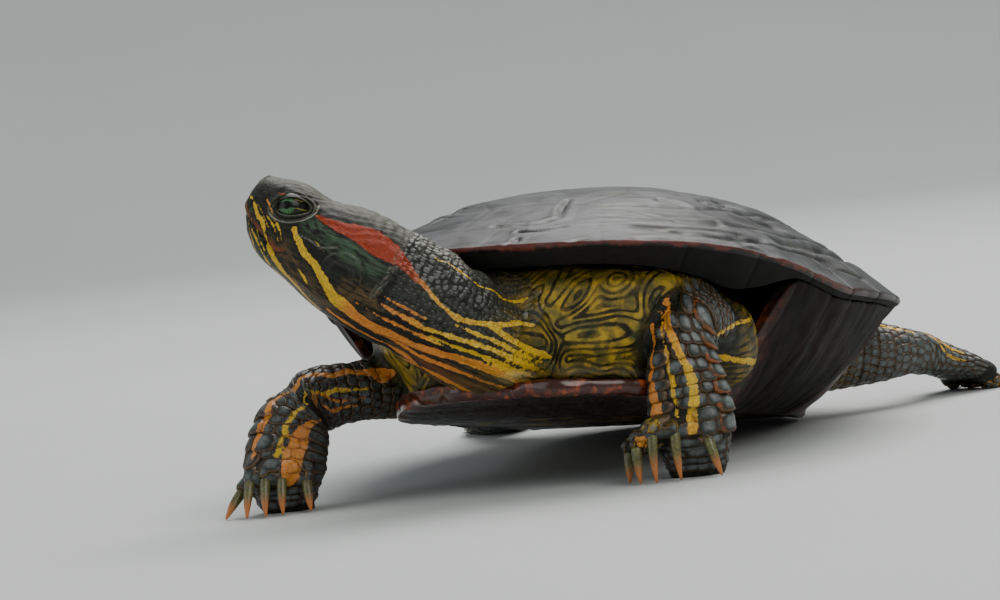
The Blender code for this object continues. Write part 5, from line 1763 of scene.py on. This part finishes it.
def carapace_material(name, settings):
    """Grey bloom with a painted sheen over dark plates, valleys darkened as painted shade, and a rim and
    underside with frayed red, the underside painted near black as shade.
    """
    tree = new_material(name)
    grain, mottle = tree.group("Fine Grain", grain_group, Coarse=7.0, Fine=0.6)
    around, rearward = tree.attribute("around_rim"), tree.attribute("rearward")
    # The top's grey is partly bloom and partly a painted sheen, the reflection of the sky; it fades towards
    # the rear.
    bloom_and_sheen = mottle.step(0.3, 0.62) * rearward.step(0, 1, 1, 0.35)
    top = tree.mix(bloom_and_sheen, settings.plate_colour, settings.bloom_and_sheen_colour)
    # Valleys, folds and cracks are darkened by how deep they lie: painted shade in the recesses.
    valley_shade = tree.math("MAXIMUM", tree.attribute("rise").step(0.12, -0.45),
                       tree.attribute("crease").step(0.25, 0.85))
    top = tree.mix(valley_shade * 0.85, top, tone(13, 12, 10))
    top = tree.mix(tree.attribute("seam").step(0.7, 0.15) * 0.45, top, tone(24, 22, 20))
    ragged = (tree.noise(5, 5, 0.7, 0.5) - 0.5) * 0.1
    border = (around + ragged).step(0.985, 1.005) * rearward.step(0.75, 0.1)
    rust = tree.mix(tree.noise(6, 4, 0.6, 0.8).step(0.35, 0.65), tone(26, 18, 14), settings.rim_colour)
    top = tree.mix(border, top, rust)
    algae = tree.noise(16, 4, 0.6, 0.4).step(0.55, 0.75) * 0.35
    top = tree.mix(algae, top, tone(70, 72, 44))
    drop = around.step(1, 1.01) * 0.2 + (around - 1.0) * 0.9
    frayed = (tree.noise(5.5, 5, 0.7, 0.3) - drop).step(0.28, 0.42)
    # The rim's underside is painted near black: painted shade under the overhanging rim; the frayed red over
    # it is its own colour.
    under = tree.mix(tree.noise(4, 4).step(0.35, 0.7), tone(5, 4, 4), tone(13, 9, 7))
    under = tree.mix(frayed * rearward.step(0.7, 0.05, 0.1, 1), under, settings.rim_colour)
    gloss = mottle.step(0.25, 0.75, 0.37, 0.5) + around.step(1, 1.06, 0, 0.5)
    return tree.surface(Base_Color=tree.mix(around.step(0.995, 1.01), top, under), Roughness=gloss,
                        Normal=tree.bump(grain, 0.22, 0.6), Specular_IOR_Level=0.42)


def plastron_material(name, settings):
    """Blotched belly plates with a dark outer band that is partly painted shade, streaked dark walls deepened
    by painted shade, and a beaded wet rim.
    """
    tree = new_material(name)
    grain, mottle = tree.group("Fine Grain", grain_group, Coarse=5.0, Fine=0.7)
    edge, walled = tree.attribute("edge"), tree.attribute("wall")
    low = tree.mix(tree.noise(19, 3, 0.5, 0.2).step(0.42, 0.52), settings.belly_colour, tone(38, 22, 14))
    # The belly's outer band is dark: partly its own colour, partly painted shade under the shell.
    low = tree.mix(tree.attribute("outer").step(0.2, 0.75), low, tone(34, 18, 12))
    low = tree.mix(tree.attribute("seam").step(0.9, 0.2), low, tone(30, 22, 15))
    streaks = tree.noise(2.2, 4, 0.6, 0.1, (1, 1, 0.25)).step(0.35, 0.7)
    # The bridge walls are near black: partly their own dark colour, partly painted shade on the flanks.
    wall = tree.mix(streaks, tone(7, 5, 5), tone(27, 14, 10))
    wall = tree.mix(tree.noise(14, 3, 0.6, 0.4).step(0.45, 0.65), wall, tone(8, 6, 6))
    rim = tree.mix(tree.noise(4.2, 3, 0.6, 0.6).step(0.5, 0.68), tone(56, 20, 11), tone(158, 70, 28))
    colour = tree.mix(edge * 0.95, tree.mix(walled, low, wall), rim)
    return tree.surface(Base_Color=colour, Roughness=mottle.step(0.25, 0.75, 0.22, 0.36) + walled * 0.4,
                        Normal=tree.bump(grain, 0.15, 0.6), Coat_Weight=edge * 0.7, Coat_Roughness=0.16,
                        Specular_IOR_Level=0.18)


def claw_material(name, settings):
    tree = new_material(name)
    base = tree.mix(tree.noise(0.8, 3, 0.6, 0).step(0.35, 0.7), tone(74, 72, 44), settings.base_colour)
    colour = tree.mix(tree.attribute("grown").step(0.35, 0.8), base, settings.tip_colour)
    return tree.surface(Base_Color=colour, Roughness=tree.noise(0.6, 2).step(0.3, 0.7, 0.24, 0.38),
                        Normal=tree.bump(tree.noise(0.5, 3), 0.05, 0.7))


def eye_material(name, settings):
    """Iris with bright threads, a dark level bar through it and a round pupil."""
    tree = new_material(name)
    x, y = tree.attribute("eye_back"), tree.attribute("eye_up")
    radius = tree.math("SQRT", x * x + y * y)
    spoke = tree.value(0, "CombineXYZ", {0: tree.math("ARCTAN2", y, x) * 5.0, 1: radius})
    fibres = tree.cloud(spoke, 1.6, 4)
    iris = tree.mix(fibres.step(0.3, 0.7), settings.iris_dark, settings.iris_colour)
    white = tree.mix(tree.noise(1.1, 3).step(0.45, 0.7), tone(14, 16, 10), tone(58, 62, 30))
    swerve = (tree.noise(1.6, 2, 0.5, 0.3) - 0.5) * 1.3
    thread = abs(abs(y + swerve) - 1.05)
    white = tree.mix(thread.step(0.17, 0.05), white, tone(170, 160, 60))
    colour = tree.mix(radius.step(IRIS_RADIUS, IRIS_RADIUS + 0.15), iris, white)
    colour = tree.mix(radius.step(1.7, IRIS_RADIUS) * 0.5, colour, tone(20, 30, 16))
    bar = abs(y + (tree.noise(1.4, 2) - 0.5) * 0.4).step(BAR_HALF + 0.26, BAR_HALF)
    colour = tree.mix(bar, colour, tone(9, 9, 7))
    colour = tree.mix(radius.step(PUPIL_RADIUS + 0.15, PUPIL_RADIUS), colour, PUPIL_BLACK)
    return tree.surface(Base_Color=colour, Roughness=0.28, Coat_Weight=0.06, Coat_Roughness=0.06,
                        Specular_IOR_Level=0.22)


def floor_material(name, settings):
    tree = new_material(name)
    colour = settings.floor_colour
    soft = tree.mix(tree.noise(300, 2).step(0.3, 0.7), colour, [c * 0.97 for c in colour])
    return tree.surface(Base_Color=soft, Roughness=0.9)


# ---- stage

CAMERA_AZIMUTH = 18.5
CAMERA_HEIGHT = 3.0
CAMERA_ROLL = 6.5
CAMERA_DISTANCE = 1.0
CAMERA_LENS = 144.0
CAMERA_TARGET = (-4.5, -92.8, 49.7)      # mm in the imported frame, at the middle of the view
FLOOR_RADIUS = 1.7
BACKDROP_RADIUS = 1.6
BACKDROP_HEIGHT = 1.3
SKY_COLOUR = (0.8, 0.84, 0.88, 1.0)
SKY_STRENGTH = 0.45
# Soft lights: name, place, aim, size (all in metres), power in watts, colour.
LIGHTS = [("overhead_light", (0.25, 0.75, 1.5), (0, 0, 0), (1.8, 1.4), 44.0, (1.0, 0.985, 0.96)),
          ("key_light", (1.0, -0.75, 0.95), (0, 0, 0.04), (0.9, 0.9), 10.0, (1.0, 0.97, 0.92)),
          ("fill_light", (-1.1, -0.9, 0.6), (0, 0, 0.04), (1.1, 1.1), 5.0, (0.93, 0.97, 1.0))]


def camera_matrix():
    turn, lift, roll = (radians(v) for v in (CAMERA_AZIMUTH, CAMERA_HEIGHT, CAMERA_ROLL))
    back = Vector((sin(turn) * cos(lift), -cos(turn) * cos(lift), sin(lift)))
    right = Vector((cos(turn), sin(turn), 0.0))
    up = back.cross(right)
    tilted = right * cos(roll) - up * sin(roll)
    upright = right * sin(roll) + up * cos(roll)
    matrix = Matrix((tilted, upright, back)).transposed().to_4x4()
    matrix.translation = Vector(CAMERA_TARGET) * MM + back * CAMERA_DISTANCE
    return matrix


def floor_mesh():
    """Round floor that sweeps up into a plain wall far behind the animal on every side."""
    angle = circle(96)
    profile = [(share * FLOOR_RADIUS, 0.0) for share in (0.15, 0.4, 0.7, 1.0)]
    profile += [(FLOOR_RADIUS + BACKDROP_RADIUS * sin(bend) * 0.6, BACKDROP_HEIGHT * (1 - cos(bend)))
                for bend in np.linspace(0, 1, 17)[1:] * pi / 2]
    rings = [np.stack([r * np.cos(angle), r * np.sin(angle), z + 0 * angle], -1) for r, z in profile]
    points, faces = lofted(rings, (0.0, 0.0, 0.0))
    mesh = bpy.data.meshes.new("studio_floor")
    mesh.from_pydata(points.tolist(), [], [face for face in faces if len(face) < 5])
    mesh.validate()
    mesh.shade_smooth()
    return mesh


def add_light(name, place, aim, size, power, colour):
    data = bpy.data.lights.new(name, "AREA")
    data.shape = "RECTANGLE"
    data.size, data.size_y = size
    data.energy = power
    data.color = colour
    lamp = bpy.data.objects.new(name, data)
    bpy.context.scene.collection.objects.link(lamp)
    lamp.location = place
    lamp.rotation_euler = (Vector(aim) - Vector(place)).to_track_quat("-Z", "Y").to_euler()


# ---- settings

def colour_setting(label, words, default):
    return FloatVectorProperty(name=label, description=words, default=default, min=0.0, max=1.0,
                               size=3, subtype="COLOR")


class TurtleSettings(bpy.types.PropertyGroup):
    """Sizes and colours of the turtle and its stage."""

    groove_depth: FloatProperty(
        name="Groove Depth", description="Depth of the grooves between the shell's plates",
        default=0.00045, min=0.0, max=0.002, unit="LENGTH")
    plate_colour: colour_setting("Plates", "Dark colour of the upper shell", tone(34, 34, 34))
    # Grey of the shell's top: partly bloom, partly a painted sheen.
    bloom_and_sheen_colour: colour_setting("Bloom", "Grey bloom on the upper shell", tone(72, 72, 75))
    rim_colour: colour_setting("Rim", "Underside of the shell's rim", tone(92, 34, 20))
    belly_colour: colour_setting("Belly", "Ground colour of the belly plates", tone(190, 150, 60))
    base_colour: colour_setting("Claw Base", "Colour where a claw leaves its toe", tone(104, 104, 54))
    tip_colour: colour_setting("Claw Tip", "Colour of a claw's point", tone(178, 108, 56))
    iris_colour: colour_setting("Iris", "Bright threads of the iris", tone(84, 132, 84))
    iris_dark: colour_setting("Iris Shade", "Dark threads of the iris", tone(30, 58, 36))
    floor_colour: colour_setting("Floor", "Plain floor and backdrop", tone(186, 190, 188))


class TurtleOperator:
    """What every step of the turtle shares."""

    bl_options = {"REGISTER", "UNDO"}

    @property
    def settings(self):
        return bpy.context.scene.turtle


def dress(name, mesh, material, slot, *nodes):
    """Put a finished mesh in the scene in place of its nodes."""
    piece = add_object(name, mesh)
    mesh.materials.clear()
    mesh.materials.append(material)
    mesh.shade_smooth()
    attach(piece, "root")
    if nodes:
        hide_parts(*nodes)
    return piece


class TURTLE_OT_stage(TurtleOperator, bpy.types.Operator):
    """Set the floor, the soft lights and the camera"""

    bl_idname = "turtle.stage"
    bl_label = "Stage"

    def execute(self, context):
        floor = add_object("studio_floor", floor_mesh())
        floor.data.materials.append(floor_material("Studio Floor", self.settings))
        for light in LIGHTS:
            add_light(*light)
        world = bpy.data.worlds.new("Studio Air")
        world.use_nodes = True
        air = world.node_tree.nodes["Background"].inputs
        air["Color"].default_value = SKY_COLOUR
        air["Strength"].default_value = SKY_STRENGTH
        context.scene.world = world
        data = bpy.data.cameras.new("camera")
        data.lens = CAMERA_LENS
        data.clip_start, data.clip_end = 0.05, 20.0
        camera = bpy.data.objects.new("camera", data)
        context.scene.collection.objects.link(camera)
        camera.matrix_world = camera_matrix()
        context.scene.camera = camera
        return {"FINISHED"}


class TURTLE_OT_shell(TurtleOperator, bpy.types.Operator):
    """Build the carapace and the plastron with their plates and grooves"""

    bl_idname = "turtle.shell"
    bl_label = "Carapace and Plastron"

    def execute(self, context):
        settings = self.settings
        dress("carapace_horn", carapace_mesh(settings.groove_depth / MM),
              carapace_material("Carapace Horn", settings), "carapace", "carapace")
        dress("plastron_horn", plastron_mesh(), plastron_material("Plastron Horn", settings),
              "plastron", "plastron")
        return {"FINISHED"}


FLESH_NODES = (["trunk", "neck", "head", "lower_jaw", "tail"]
               + [f"{part}_{side}" for side in SIDES
                  for part in ("upper_arm", "forearm", "forefoot", "thigh", "shin", "hindfoot")])


class TURTLE_OT_skin(TurtleOperator, bpy.types.Operator):
    """Build the one skin over head, neck, legs, tail and pockets"""

    bl_idname = "turtle.skin"
    bl_label = "Skin"

    def execute(self, context):
        mesh, tubes = skin_mesh()
        write_paint(mesh, mesh_points(mesh), tubes)
        dress("skin", mesh, skin_material("Turtle Skin"), "skin", *FLESH_NODES)
        return {"FINISHED"}


class TURTLE_OT_scales(TurtleOperator, bpy.types.Operator):
    """Lay solid scales over neck, legs, toes and tail"""

    bl_idname = "turtle.scales"
    bl_label = "Scales"

    def execute(self, context):
        tubes = body_tubes()
        finder = skin_finder(bpy.data.objects["skin"].data)
        plain = scale_material("Leg Scales", tone(112, 82, 56), 0.55)
        for name in LEG_FIELDS:
            dress(f"scales_{name}", leg_scales(name, tubes, finder), plain, "skin")
        toes = scale_material("Toe Scales", tone(176, 128, 40), 0.7)
        dress("scales_toes", toe_scales(tubes, finder), toes, "skin")
        # The neck scales' light rims are painted highlights on their edges.
        nape = scale_material("Neck Scales", tone(80, 76, 66), 0.35)
        dress("scales_neck", neck_scales(tubes, finder), nape, "skin")
        return {"FINISHED"}


class TURTLE_OT_eyes(TurtleOperator, bpy.types.Operator):
    """Build both eyeballs with iris, bar and pupil"""

    bl_idname = "turtle.eyes"
    bl_label = "Eyes"

    def execute(self, context):
        material = eye_material("Eye", self.settings)
        for name, side in (("left", 1), ("right", -1)):
            dress(f"eyeball_{name}", eye_mesh(f"eyeball_{name}", side), material, "eye", f"eye_{name}")
        return {"FINISHED"}


class TURTLE_OT_claws(TurtleOperator, bpy.types.Operator):
    """Build the eighteen claws"""

    bl_idname = "turtle.claws"
    bl_label = "Claws"

    def execute(self, context):
        material = claw_material("Claw Horn", self.settings)
        for name, _, base, tip, bow in all_toes():
            dress(f"{name}_horn", claw_mesh(f"{name}_horn", base, tip, bow), material, "claw", name)
        return {"FINISHED"}


STEPS = (TURTLE_OT_stage, TURTLE_OT_shell, TURTLE_OT_skin, TURTLE_OT_scales, TURTLE_OT_eyes, TURTLE_OT_claws)


class TURTLE_PT_panel(bpy.types.Panel):
    """Steps and settings of the turtle"""

    bl_idname = "TURTLE_PT_panel"
    bl_label = "Turtle"
    bl_space_type = "VIEW_3D"
    bl_region_type = "UI"
    bl_category = "Turtle"

    def draw(self, context):
        for step in STEPS:
            self.layout.operator(step.bl_idname)
        for name in TurtleSettings.__annotations__:
            self.layout.prop(context.scene.turtle, name)


CLASSES = (TurtleSettings, *STEPS, TURTLE_PT_panel)


def register():
    for entry in CLASSES:
        bpy.utils.register_class(entry)
    bpy.types.Scene.turtle = PointerProperty(type=TurtleSettings)


def unregister():
    del bpy.types.Scene.turtle
    for entry in reversed(CLASSES):
        bpy.utils.unregister_class(entry)


def main():
    register()
    bpy.ops.turtle.stage()
    bpy.ops.turtle.shell()
    bpy.ops.turtle.skin()
    bpy.ops.turtle.scales()
    bpy.ops.turtle.eyes()
    bpy.ops.turtle.claws()


if __name__ == "__main__":
    main()
